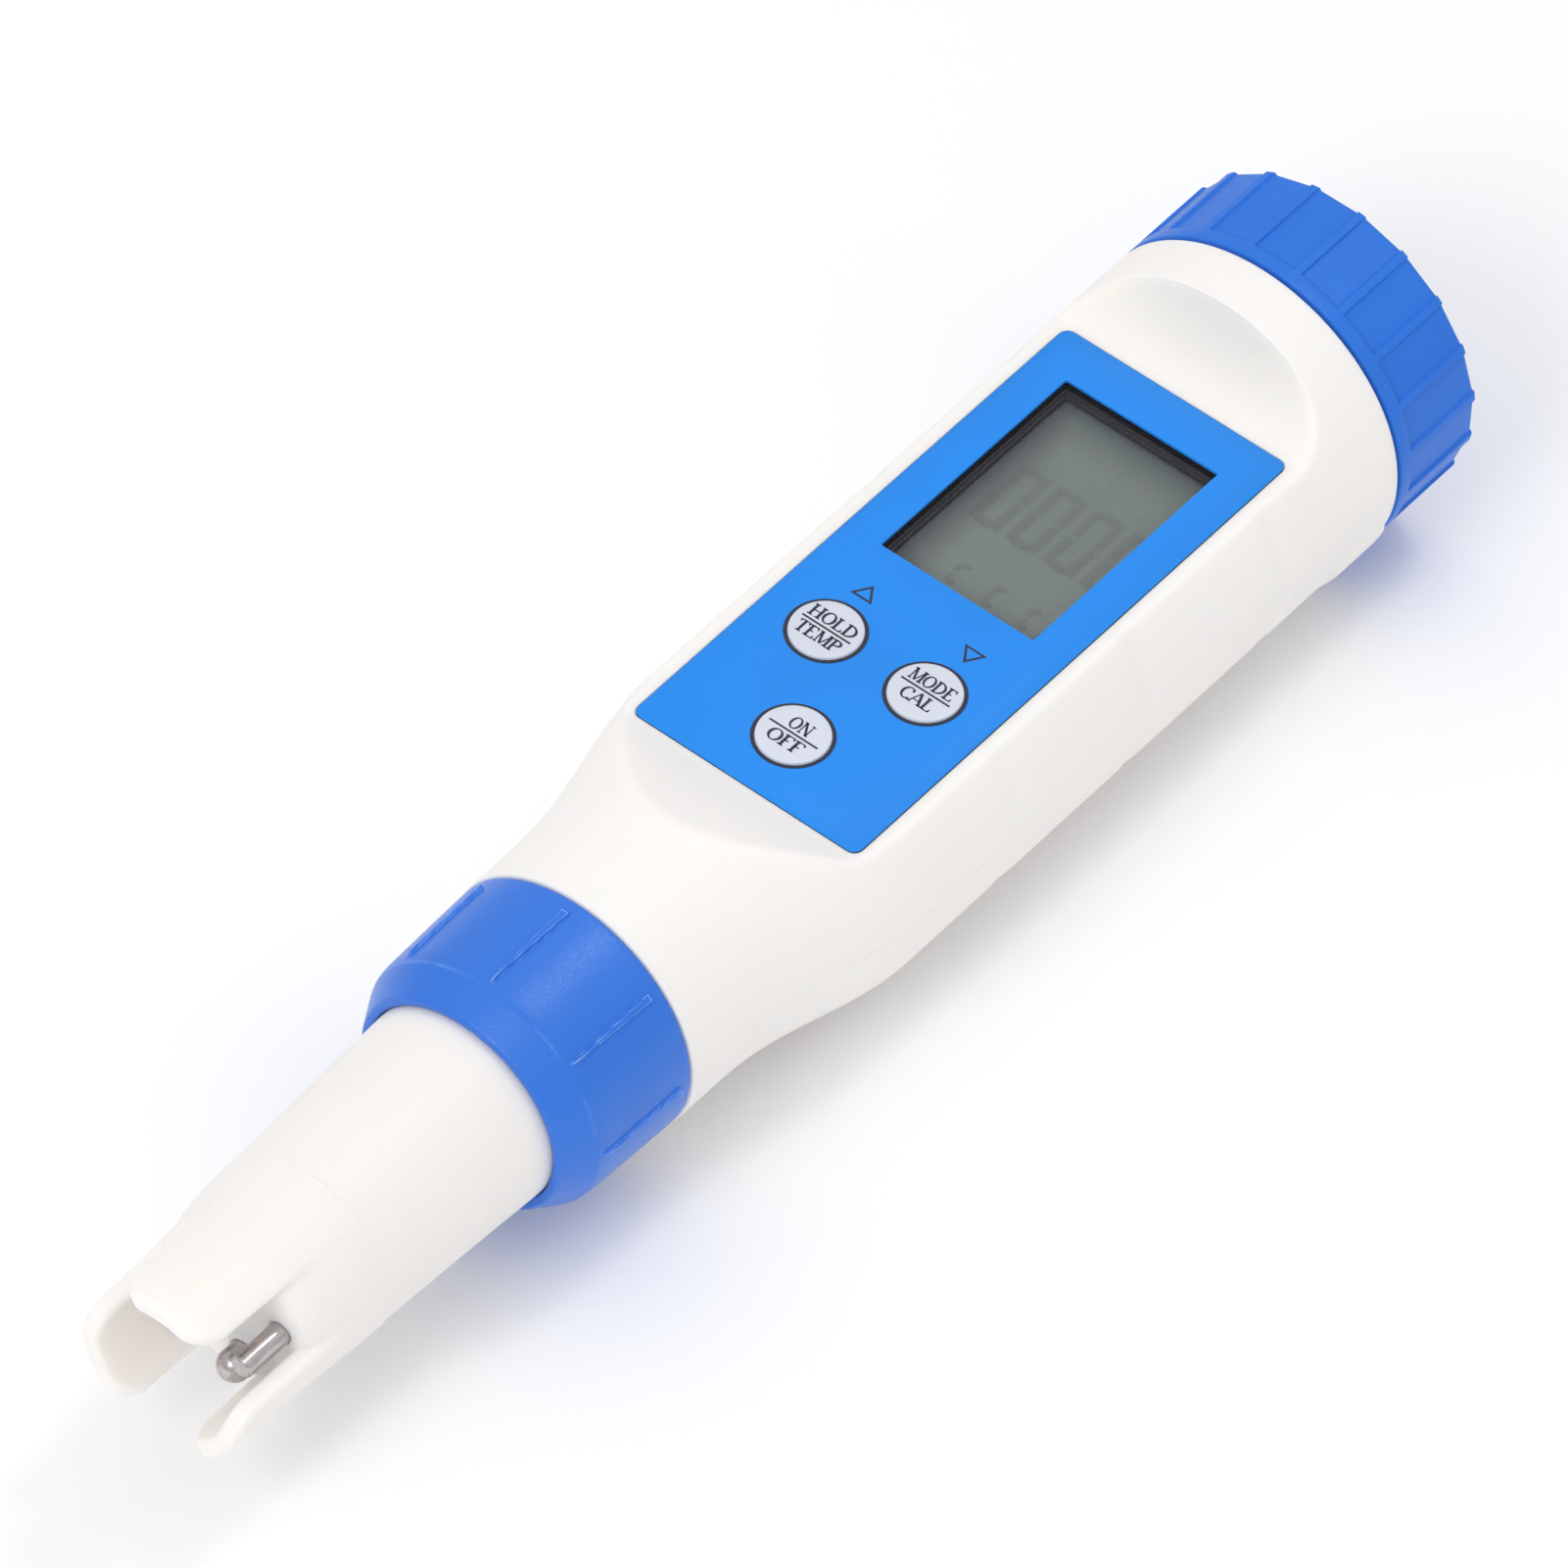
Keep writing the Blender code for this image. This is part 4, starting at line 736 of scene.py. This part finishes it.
def bar(x0, x1, y, tick=0.0):
    """A level stroke, with an upright tick at its far end where tick isn't 0."""
    shapes = [stroke((x0, y), (x1, y), THIN)]
    if tick:
        shapes.append(stroke((x1 - 0.02, y), (x1 + 0.02, y + tick), THIN * 1.6, THIN * 0.7))
    return shapes


def bowl(x, y, half_x, half_y, start, end):
    """An arc, thick where it runs upright."""
    turns = np.radians(np.linspace(start, end, 25))
    points = [(x + half_x * math.cos(t), y + half_y * math.sin(t)) for t in turns]
    widths = [THIN + (THICK - THIN) * abs(math.cos(t)) ** 1.3 for t in turns]
    return [stroke_band(points, widths)]


# Each letter's advance and its shapes, in a box one unit high.
GLYPHS = {
    "A": (0.74, stem(0.17, width=THIN, serifs=(True, False), slant=0.17)
          + stem(0.52, width=THICK, serifs=(True, False), slant=-0.17) + bar(0.14, 0.56, 0.34)),
    "C": (0.72, bowl(0.40, 0.5, 0.32, 0.47, 42, 318) + bar(0.60, 0.62, 0.72, 0.22)),
    "D": (0.80, stem(0.16) + bowl(0.20, 0.5, 0.50, 0.47, -90, 90)),
    "E": (0.68, stem(0.16) + bar(0.16, 0.56, 0.97, -0.2) + bar(0.16, 0.42, 0.52)
          + bar(0.16, 0.60, 0.03, 0.22)),
    "F": (0.64, stem(0.16) + bar(0.16, 0.56, 0.97, -0.2) + bar(0.16, 0.42, 0.52)),
    "H": (0.82, stem(0.16) + stem(0.66) + bar(0.16, 0.66, 0.5)),
    "L": (0.66, stem(0.16) + bar(0.16, 0.58, 0.03, 0.22)),
    "M": (0.96, stem(0.14, width=THIN) + stem(0.82)
          + [stroke((0.16, 1.0), (0.47, 0.03), THICK, THICK * 0.8), stroke((0.47, 0.03), (0.80, 1.0), THIN)]),
    "N": (0.82, stem(0.14, width=THIN) + stem(0.68, width=THIN)
          + [stroke((0.13, 0.99), (0.68, 0.02), THICK)]),
    "O": (0.80, bowl(0.40, 0.5, 0.32, 0.47, 0, 360)),
    "P": (0.68, stem(0.16) + bowl(0.22, 0.74, 0.36, 0.235, -90, 90)),
    "T": (0.70, stem(0.35, serifs=(True, False)) + bar(0.35, 0.64, 0.97, -0.2) + bar(0.35, 0.06, 0.97, -0.2)),
}


def word_shapes(word, width, height, centre, baseline_x):
    """Flat outlines of a word: it reads towards -Y, with the tops of its letters towards +X."""
    total = sum(GLYPHS[letter][0] for letter in word)
    stretch = width / (total - 0.06)
    outlines, start = [], -total / 2
    for letter in word:
        advance, shapes = GLYPHS[letter]
        for shape in shapes:
            outlines.append([(baseline_x + y * height, centre - (start + x) * stretch) for x, y in shape])
        start += advance
    return outlines


def print_on(name, outlines, z, body):
    """Ink a hair proud of a surface."""
    piece(name, *prisms(outlines, z - 0.01, z + 0.02), INK, body, slot="plunger_plastic", sharp=50)


def make_keys():
    """Each key's disc, its two words with a line between them, and the ink ring round it."""
    height = 1.62
    flange = 4.7
    for name, (low, high) in KEYS.items():
        x, y = key_centre(name)
        base_z, top_z = low[2], high[2]
        profile = [(base_z, 1.5), (7.9, 1.5), (7.9, flange), (8.5, flange), (8.5, KEY_RADIUS)]
        edge = ((0.28, 0.0), (0.1, 0.06), (0.02, 0.2), (0.0, 0.45))
        profile += [(top_z - drop, KEY_RADIUS - inset) for drop, inset in edge] + [(top_z, 1.0)]
        disc = levels([(z, circle((x, y), radius, 96)) for z, radius in profile])
        body = "key_" + name
        piece("key_disc_" + name, *disc, KEY, body, ["button_" + name], "key_silicone", 40)
        outlines = [rectangle(x, y, 0.11, 3.05)]
        for word, baseline_x in zip(KEY_WORDS[name], (x + 0.42, x - 0.42 - height)):
            outlines += word_shapes(*word, height, y, baseline_x)
        print_on("key_words_" + name, outlines, top_z, body)
        inner, outer = (circle((x, y), KEY_RADIUS + margin, 96) for margin in (0.02, 0.42))
        low_z, high_z = LAND_Z - 0.15, LABEL_TOP_Z + 0.03
        ring = levels([(low_z, inner), (low_z, outer), (high_z, outer), (high_z, inner)], "loop")
        piece("key_ring_" + name, *ring, INK, "meter_body", slot="plunger_plastic", sharp=50)


def triangle_outline(centre, half_width, length, line, direction):
    """An outlined triangle made of three bands; direction +1 points to +X."""
    x, y = centre
    reach = direction * length / 2
    places = ((-reach, -half_width), (-reach, half_width), (reach, 0))
    corners = [Vector((x + along, y + across)) for along, across in places]
    middle = sum(corners, Vector((0, 0))) / 3
    inner = [corner + (middle - corner).normalized() * line * 1.9 for corner in corners]
    return [[corners[i - 1], corners[i], inner[i], inner[i - 1]] for i in range(3)]


def make_label_marks():
    """An arrow beside each of the two upper keys."""
    shapes = []
    for name, direction in (("hold", 1), ("mode", -1)):
        y = key_centre(name)[1] + 0.2 * direction
        shapes += triangle_outline((-53.9, y), 1.35, 2.1, 0.26, direction)
    print_on("label_arrows", shapes, LABEL_TOP_Z, "meter_body")


def make_display():
    """Window sheet, dark stepped frame, display face and its faint resting segments."""
    sheet = prism(grown_rectangle(WINDOW_LOW, WINDOW_HIGH, 0, 0.25), 10.0, WINDOW_HIGH[2])
    piece("display_window", *sheet, WINDOW, "meter_body", ["lcd_window"], "clear_window", 40)
    low, high = 8.35, 9.95
    steps = ((low, 0.42), (8.9, 0.42), (8.9, 0.22), (9.45, 0.22), (9.45, 0.04), (high, 0.04))
    rows = [(z, grown_rectangle(WINDOW_LOW, WINDOW_HIGH, -inset, 0.3)) for z, inset in steps]
    rows += [(z, grown_rectangle(WINDOW_LOW, WINDOW_HIGH, 0.35, 0.5)) for z in (high, low)]
    shell = levels(rows, "loop")
    piece("display_frame", *shell, FRAME, "meter_body", ["lcd_gasket"], "black_rubber", 40)
    dress("lcd_glass", lcd_face("lcd_look", ORIGIN))
    make_segments()


def lcd_face(name, start, share=1.0):
    """Grey-green display with painted shade: darker near the two walls whose shadow falls on it; start is
    where the pen's seam lies in its coordinates.
    """
    nodes = Nodes(name, (0.165, 0.193, 0.188), 0.3, Specular_IOR_Level=0.25)
    cloud = nodes.cloud(70.0)
    light, dark = (0.184, 0.214, 0.207), (0.168, 0.196, 0.190)
    tint = nodes.mix(cloud, toned(light, share), toned(dark, share))
    x, y, _ = nodes.axes()
    wall_x = start.x + WINDOW_HIGH[0] * MM
    wall_y = start.y + WINDOW_HIGH[1] * MM
    # Painted shade: darker within a few millimetres of the display's +Y and +X walls.
    beside = nodes.ramp(y, wall_y - 0.0055, wall_y - 0.0003, 0.0, 0.6)
    above = nodes.ramp(x, wall_x - 0.0070, wall_x - 0.0003, 0.0, 0.4)
    nodes.colour(nodes.mix(nodes.math("MAXIMUM", beside, above), tint, (0.045, 0.052, 0.060)))
    nodes.roughness(nodes.cloud(1500.0, 3.0, 0.3, 0.7, 0.25, 0.35))
    return nodes.material


def make_segments():
    """Resting segments, only just darker than the display: a wide faint layer under a narrower one."""
    for layer, (spread_out, share) in enumerate(((0.45, 0.94), (-0.1, 0.86))):
        outlines = []
        for y in (5.2, 0.5, -4.2, -8.9):
            outlines += digit((-33.0, y), 3.5, 9.2, 0.8, spread_out, y < -8)
        for y in (2.6, -2.1, -6.6):
            outlines += digit((-44.4, y), 1.6, 3.0, 0.45, spread_out * 0.8, True)
        z = LCD_TOP_Z + 0.005 + 0.02 * layer
        material = lcd_face("segment_look_%d" % layer, Vector((0, 0, 0)), share)
        skin = prisms(outlines, z, z + 0.01)
        piece("display_segments_%d" % layer, *skin, material, "meter_body", slot="lcd_face", sharp=50)


def segment(x, y, half_x, half_y):
    """A rectangle that stops just under the window's edge."""
    return [(px, max(py, WINDOW_LOW[1] - 0.3)) for px, py in rectangle(x, y, half_x, half_y)]


def digit(centre, width, height, line, grow, half_hidden):
    """A resting zero in seven-segment style, reading towards -Y; cut where the window's edge hides it."""
    x, y = centre
    half_line = (line + grow) / 2
    side_y = (width - line) / 2
    end_x = (height - line) / 2
    gap = 0.3
    shapes = [segment(x + level * end_x, y, half_line, side_y - half_line - 0.01) for level in (-1, 1)]
    for side in (1,) if half_hidden else (-1, 1):
        for level in (-1, 1):
            near, far = gap - grow / 2, end_x + half_line - gap
            middle = x + level * (near + far) / 2
            shapes.append(segment(middle, y + side * side_y, (far - near) / 2, half_line))
    return shapes


# ---- cap and collar


def cap_clocks():
    pitch = 360 / CAP_RIBS
    offsets = np.array([0.0, 0.28, 0.42, 0.455, 0.49, 0.53, 0.57, 0.62, 0.72, 1.1, 1.7, 2.3]) / BODY_RADIUS
    offsets = np.degrees(offsets)
    offsets = np.concatenate([-offsets[:0:-1], offsets, [pitch / 2]])
    return np.array([(k + 0.5) * pitch + offset for k in range(CAP_RIBS) for offset in offsets])


def make_cap():
    clocks = cap_clocks()
    pitch = 360 / CAP_RIBS
    turn = np.radians((clocks % pitch) - pitch / 2)
    panel = smooth_step(0.42, 0.58, np.abs(turn) * BODY_RADIUS)
    half_panel = math.radians(pitch / 2) - 0.5 / BODY_RADIUS
    from_middle = math.radians(pitch / 2) - np.abs(turn)
    reach = (BODY_RADIUS - CAP_PANEL_DEPTH) * math.cos(half_panel)
    flat = reach / np.cos(np.minimum(from_middle, half_panel))

    def surface(x, shrink=0.0):
        share = panel * smooth_step(CAP_BAND_END_X, CAP_BAND_END_X + 0.18, x)
        return BODY_RADIUS + (flat - BODY_RADIUS) * share - shrink

    rows = [(0.55, CAP_BORE), (0.3, CAP_BORE + 0.3), (0.3, BODY_RADIUS - 0.35), (0.36, BODY_RADIUS - 0.15)]
    rows += [(0.5, BODY_RADIUS - 0.03)]
    rows += [(x, surface(x)) for x in (0.7, 1.3, 1.86, 1.92, 1.97, 2.02, 2.08, 2.2)]
    rows += [(x, surface(x)) for x in np.linspace(2.6, CAP_END_X - 0.7, 8)]
    edge = 0.55
    for turn in np.radians(np.linspace(0, 90, 7)):
        rows.append((CAP_END_X - edge + edge * math.sin(turn), surface(10.0, edge * (1 - math.cos(turn)))))
    rows += [(CAP_END_X, BODY_RADIUS - 1.6), (CAP_END_X, 12.0), (CAP_END_X, 4.0)]
    rows = rows[::-1] + [(10.9, CAP_BORE)]
    cap = piece("screw_cap", *rings(rows, clocks), BLUE, "cap", ["battery_cap"], "blue_plastic", 28)
    stud = rings([(8.4, 2.2), (8.5, 2.4), (9.0, 2.4), (9.1, 1.5), (11.2, 1.5)], even_clocks(48))
    thread = helix(CAP_THREAD_X + PITCH / 2, CAP_BORE, False)
    carved(cap, [("UNION", piece("cap_maker", *joined(stud, thread)))], 28)


def collar_clocks():
    reach = np.degrees(np.array([0.0, 0.1, 0.2, 0.28, 0.34, 0.40, 0.46, 0.52, 0.6, 0.8, 1.4]) / COLLAR_RADIUS)
    near = np.concatenate([-reach[:0:-1], reach])
    clocks = np.concatenate([near + k * COLLAR_RIB_STEP for k in range(8)])
    between = np.concatenate([np.arange(7.5, 38.0, 1.7) + k * COLLAR_RIB_STEP for k in range(8)])
    return np.sort(np.concatenate([clocks, between]))


def make_collar():
    clocks = collar_clocks()
    away = (clocks + COLLAR_RIB_STEP / 2) % COLLAR_RIB_STEP - COLLAR_RIB_STEP / 2
    away = np.abs(np.radians(away)) * COLLAR_RADIUS
    profile_x, profile_radius = zip(*COLLAR_PROFILE)

    def surface(x):
        half = 0.10 + 0.34 * np.clip((x + 119.9) / 11.0, 0, 1)
        length = smooth_step(-120.3, -119.2, x) * (1 - smooth_step(-108.75, -108.60, x))
        rib = 0.36 * (1 - smooth_step(half - 0.05, half + 0.08, away)) * length
        return np.interp(x, profile_x, profile_radius) + rib

    stations = spread((-123.86, -123.5, 0.12), (-123.3, -121.8, 0.3), (-121.6, -119.0, 0.15),
                      (-118.6, -109.2, 0.5), (-108.9, -108.5, 0.05), (-108.3, -107.6, 0.2),
                      (-107.5, -107.0, 0.08))
    rows = [(-118.4, 11.62), (-123.85, 11.62), (-124.02, 11.72), (-124.1, 11.9), (-124.1, 12.38)]
    rows += [(-124.04, 12.5)]
    rows += [(x, surface(x)) for x in stations]
    rows += [(-106.98, 14.0), (-107.2, COLLAR_BORE + 0.02), (-107.5, COLLAR_BORE), (-118.4, COLLAR_BORE)]
    skin = rings(rows, clocks, "loop")
    nut = piece("collar_ring", *skin, COLLAR_BLUE, "collar", ["collar_nut"], "blue_plastic", 24)
    thread = helix(COLLAR_THREAD_X - PITCH / 2, COLLAR_BORE, False)
    carved(nut, [("UNION", piece("nut_thread", *thread))], 24)


# ---- electrode


def tube_radius(x):
    return np.interp(x, (-169.5, -158.6, -153.5, -145.8, -137.0, -131.0, -124.0, -118.0),
                     (9.97, 10.23, 10.43, 10.64, 10.94, 11.18, 11.5, 11.55))


def ramp_radius(x):
    """The slots' floor: from the core's face up to the tube's surface."""
    return np.interp(x, (-158.1, -157.9, -157.5, -156.9, -156.0, -153.5, -150.5, -147.5, -147.4),
                     (8.0, 8.55, 9.02, 9.40, 9.72, 10.16, 10.50, 10.66, FAR))


def rounded_max(a, b, radius):
    inner = np.minimum(np.maximum(a + radius, b + radius), 0)
    return inner + np.hypot(np.maximum(a + radius, 0), np.maximum(b + radius, 0)) - radius


def electrode_field(x, clock, radius):
    """Negative inside the electrode's tube and guard, in millimetres."""
    outer = tube_radius(x)
    floor = np.minimum(ramp_radius(x), outer)
    core = rounded_max(radius - floor, CORE_FACE_X - x, 0.8)
    turn = np.radians(clock)
    for place, hole, boss in SENSOR_HOLES:
        y, z = clock_place(*place)
        away = np.hypot(-radius * np.cos(turn) - y, radius * np.sin(turn) - z)
        if boss:
            cone = rounded_max(away - boss - 0.7 * (x - CORE_FACE_X + 1.0), CORE_FACE_X - 1.0 - x, 0.15)
            cone = np.maximum(cone, x - CORE_FACE_X - 1.0)
            core = smooth_min(core, cone, 0.3)
        core = np.maximum(core, -rounded_max(away - hole, x - CORE_FACE_X - 2.0, 0.05))
    middle, half = (outer + GUARD_BORE) / 2, (outer - GUARD_BORE) / 2
    solid = core
    corner = 3.4
    for tine in TINE_CLOCKS:
        off = (clock - tine + 180) % 360 - 180
        across = np.radians(np.abs(off)) * TINE_RADIUS
        width = np.radians(35.0 + 0.17 * np.clip(x - TIP_X, 0, 16)) * TINE_RADIUS
        side = across - (width - corner)
        end = TIP_X + 0.05 + corner - x
        flat = rounded_max(side - corner, end - corner, corner)
        slab = rounded_max(flat, np.abs(radius - middle) - half, 0.7)
        solid = smooth_min(solid, np.where(x > -147.0, FAR, slab), 0.5)
    return np.maximum(solid, x - ELECTRODE_JOIN_X)


CORNERS = [(i, j, k) for i in (0, 1) for j in (0, 1) for k in (0, 1)]


def surface_net(xs, clocks, radii, field):
    """A mesh of the zero surface of a field sampled on a grid round the pen."""
    grid_x, grid_c, grid_r = np.meshgrid(xs, clocks, radii, indexing="ij")
    values = field(grid_x, grid_c, grid_r)
    shifted = {}
    for i, j, k in CORNERS:
        rolled = np.roll(values, -j, axis=1)
        shifted[i, j, k] = rolled[i : len(xs) - 1 + i, :, k : len(radii) - 1 + k]
    inside = sum((shifted[c] < 0).astype(int) for c in CORNERS)
    active = (inside > 0) & (inside < 8)
    total = np.zeros(active.shape + (3,))
    weight = np.zeros(active.shape)
    for a in CORNERS:
        for axis in range(3):
            if a[axis]:
                continue
            b = tuple(v + (1 if n == axis else 0) for n, v in enumerate(a))
            va, vb = shifted[a], shifted[b]
            crosses = (va < 0) != (vb < 0)
            share = np.where(crosses, va / np.where(crosses, va - vb, 1.0), 0.0)
            point = np.stack([np.full(active.shape, float(v)) for v in a], axis=-1)
            point[..., axis] += share
            total += point * crosses[..., None]
            weight += crosses
    index = -np.ones(active.shape, int)
    index[active] = np.arange(active.sum())
    cell_i, cell_j, cell_k = np.nonzero(active)
    local = total[active] / weight[active][:, None]
    x = xs[cell_i] + local[:, 0] * (xs[cell_i + 1] - xs[cell_i])
    clock = clocks[cell_j] + local[:, 1] * 360.0 / len(clocks)
    radius = radii[cell_k] + local[:, 2] * (radii[cell_k + 1] - radii[cell_k])
    x, clock, radius = settle(x, clock, radius, field)
    return around(x, radius, clock), net_faces(values, index)


def settle(x, clock, radius, field):
    """Moves each point onto the zero surface along the field's gradient."""
    tiny = 0.02
    for _ in range(3):
        value = field(x, clock, radius)
        arc = np.degrees(tiny / np.maximum(radius, 1.0))
        gx, gc, gr = (
            (field(x + a, clock + b, radius + c) - field(x - a, clock - b, radius - c)) / (2 * tiny)
            for a, b, c in ((tiny, 0, 0), (0, arc, 0), (0, 0, tiny))
        )
        size = np.maximum(gx**2 + gc**2 + gr**2, 0.2)
        move = np.clip(value / size, -0.12, 0.12)
        x = x - move * gx
        clock = clock - np.degrees(move * gc / np.maximum(radius, 1.0))
        radius = np.maximum(radius - move * gr, 0.02)
    return x, clock, radius


def net_faces(values, index):
    """A quad round each grid edge that the surface crosses, and a face round each crossing of the axis."""
    sign = values < 0
    faces = [index[cell, :, 0].tolist() for cell in np.nonzero(sign[:-1, 0, 0] != sign[1:, 0, 0])[0]]

    def quads(*cells):
        faces.extend(np.stack([index[cell] for cell in cells], 1).tolist())

    i, j, k = np.nonzero((sign[:-1] != sign[1:])[:, :, 1:-1])
    k = k + 1
    before = (j - 1) % values.shape[1]
    quads((i, before, k - 1), (i, j, k - 1), (i, j, k), (i, before, k))
    i, j, k = np.nonzero((sign != np.roll(sign, -1, axis=1))[1:-1, :, 1:-1])
    i, k = i + 1, k + 1
    quads((i - 1, j, k - 1), (i, j, k - 1), (i, j, k), (i - 1, j, k))
    i, j, k = np.nonzero((sign[:, :, :-1] != sign[:, :, 1:])[1:-1])
    i = i + 1
    before = (j - 1) % values.shape[1]
    quads((i - 1, before, k), (i, before, k), (i, j, k), (i - 1, j, k))
    return faces


def make_electrode():
    """The tube with its guard, the spigot that goes into the body, and the sensors."""
    xs = spread((TIP_X - 0.4, -146.0, 0.22), (-145.5, -122.0, 1.2), (-121.4, -120.7, 0.15))
    radii = np.concatenate([[0.0], np.arange(0.5, 7.0, 0.3), np.arange(7.1, 12.2, 0.22)])
    skin = surface_net(xs, even_clocks(300), radii, electrode_field)
    piece("guard_tube", *skin, GUARD, "electrode", ["electrode_tube"], "white_plastic", 40)
    outline = [(-121.3, 9.0), (-121.3, 11.35), (-118.0, 11.5), (-118.0, 12.3), (-115.6, 12.3), (-115.6, 10.6)]
    outline += [(-112.2, 10.6), (-112.2, 9.6), (-110.4, 9.6), (-110.4, 10.6), (-106.0, 10.6), (-106.0, 9.0)]
    outline = rounded(outline, 0.2)
    turned("electrode_spigot", outline, 96, (0.0, 0.0), GUARD, "white_plastic", closed="loop")
    make_sensors()


def dome(tip_x, end_x, radius):
    """The outline of a round-ended rod."""
    turns = np.linspace(0.06, math.pi / 2, 12)
    return [(tip_x + radius * (1 - math.cos(t)), radius * math.sin(t)) for t in turns] + [(end_x, radius)]


def make_sensors():
    """The two pins, the probe, the glass bulb and the porous plug."""
    for name, place in PIN_PLACES.items():
        outline = [(-163.9, 0.05), (-163.9, PIN_RADIUS - 0.24), (-163.66, PIN_RADIUS)]
        outline = rounded(outline + [(-148.0, PIN_RADIUS), (-148.0, 0.05)], 0.06)
        centre, node = clock_place(*place), "conductivity_pin_" + name
        turned("pin_" + name, outline, 64, centre, STEEL, "probe_steel", [node])
    outline, centre = dome(-162.4, -142.0, PROBE_RADIUS), clock_place(*PROBE_PLACE)
    turned("probe", outline, 72, centre, STEEL, "probe_steel", ["temperature_probe"])
    bulb, stem_radius, centre_x, wall = 3.2, 2.9, -160.0, 0.4
    turns = np.linspace(0.04, math.pi - math.asin(stem_radius / bulb), 28)
    outer, inner = ([(centre_x - radius * math.cos(t), radius * math.sin(t)) for t in turns]
                    for radius in (bulb, bulb - wall))
    outline = outer + [(-115.2, stem_radius), (-115.0, stem_radius - 0.2), (-115.2, stem_radius - wall)]
    outline, centre = outline + inner[::-1], clock_place(*BULB_PLACE)
    turned("glass_bulb", outline, 72, centre, GLASS, "bulb_glass", ["ph_glass_bulb"])
    outline = rounded([(-158.15, 0.05), (-158.15, 1.2), (-151.5, 1.2), (-151.5, 0.05)], 0.12)
    centre = clock_place(*JUNCTION_PLACE)
    turned("junction_plug", outline, 48, centre, CERAMIC, "junction_ceramic", ["reference_junction"])


# ---- carried-over nodes


def board_look():
    nodes = Nodes("board_look", (0.02, 0.15, 0.06), 0.38)
    colours = {"Color1": (0.02, 0.16, 0.06, 1), "Color2": (0.018, 0.13, 0.05, 1)}
    lines = {"Mortar": (0.05, 0.26, 0.10, 1), "Mortar Size": 0.04}
    tracks = nodes.add("ShaderNodeTexBrick", {"Scale": 500.0, **colours, **lines})
    nodes.link(nodes.coords, tracks.inputs["Vector"])
    nodes.colour(tracks.outputs["Color"])
    nodes.bump(tracks.outputs["Fac"], 0.00003, 0.4)
    return nodes.material


def dress(name, material):
    """Gives a CAD node that stays its material."""
    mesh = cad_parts[name].data
    mesh.materials.clear()
    mesh.materials.append(material)


def dress_nodes():
    nickel = ["bluetooth_module"] + ["switch_" + name for name in KEYS]
    nickel += [kind + str(index) for kind in ("board_screw_", "button_cell_") for index in range(1, 5)]
    looks = (
        (board_look(), ["main_board"]),
        (NYLON, ["chassis_frame", "electrode_socket", "electrode_plug", "battery_tray"]),
        (EPOXY, ["controller_chip"]),
        (NICKEL, nickel),
        (BRASS, ["battery_spring", "battery_strip", "cap_contact_disc"]),
        (RUBBER, ["cap_o_ring", "electrode_o_ring", "zebra_strip_left", "zebra_strip_right"]),
        (SILVER, ["ph_silver_wire", "reference_wire"]),
        (GOLD, ["contact_pin_%d" % index for index in range(1, 7)]),
        (INK, ["plunger_" + name for name in KEYS]),
    )
    for material, names in looks:
        for name in names:
            dress(name, material)


# ---- stage


# The sky's strength: (height on the unit sphere, strength at the horizon, strength at that height).
SKY_DOME = (0.9, 0.56, 0.93)
SKY_RIM = (0.08, 0.81, 0.5)


def make_stage():
    """A pale floor, a white sky and two soft lights."""
    size = 3.0
    mesh = bpy.data.meshes.new("floor")
    mesh.from_pydata([(x, y, 0) for x, y in rectangle(0, 0, size, size)], [], [(0, 1, 2, 3)])
    floor = bpy.data.objects.new("floor", mesh)
    bpy.context.scene.collection.objects.link(floor)
    tone, shaded = (0.97,) * 3, (0.965,) * 3
    paper = Nodes("paper", tone, 0.8)
    paper.colour(paper.mix(paper.cloud(30.0), tone, shaded))
    mesh.materials.append(paper.material)
    world = bpy.data.worlds.new("studio")
    bpy.context.scene.world = world
    sky = Tree(world, "Generated")
    height = sky.axes()["Z"]
    dome, rim = (sky.ramp(height, 0.0, *fade, "LINEAR") for fade in (SKY_DOME, SKY_RIM))
    background = sky.tree.nodes["Background"]
    background.inputs["Color"].default_value = (1.0, 1.0, 1.0, 1)
    sky.link(sky.math("MAXIMUM", dome, rim), background.inputs["Strength"])
    centre = Vector((0.0, 0.0, 0.02))
    softbox("key_light", centre + Vector((-0.80, -0.04, 0.77)), centre, 0.50, 2.75)
    softbox("sheen_light", centre + Vector((0.36, -0.10, 0.80)), centre, 0.18, 0.75)
    bpy.context.scene.view_settings.view_transform = "Standard"


def softbox(name, place, target, size, power):
    data = bpy.data.lights.new(name, "AREA")
    data.shape = "DISK"
    data.size = size
    data.energy = power
    lamp = bpy.data.objects.new(name, data)
    bpy.context.scene.collection.objects.link(lamp)
    lamp.location = place
    lamp.rotation_euler = (target - place).to_track_quat("-Z", "Y").to_euler()


def make_camera():
    """A long lens above the pen's tip end."""
    place = ORIGIN + Vector((-0.88906, -0.61489, 1.16891))
    target = ORIGIN + Vector((-0.07147, 0.00249, 0.0))
    up = Vector((0.56946718, 0.49634468, 0.65524735))
    back = (place - target).normalized()
    right = up.cross(back).normalized()
    up = back.cross(right)
    data = bpy.data.cameras.new("camera")
    data.sensor_width = 36.0
    data.lens = 361.4
    data.clip_end = 10.0
    camera = bpy.data.objects.new("camera", data)
    camera.matrix_world = Matrix.Translation(place) @ Matrix((right, up, back)).transposed().to_4x4()
    bpy.context.scene.collection.objects.link(camera)
    bpy.context.scene.camera = camera


make_camera()
make_stage()
make_body()
make_label()
make_keys()
make_label_marks()
make_display()
make_cap()
make_collar()
make_electrode()
dress_nodes()
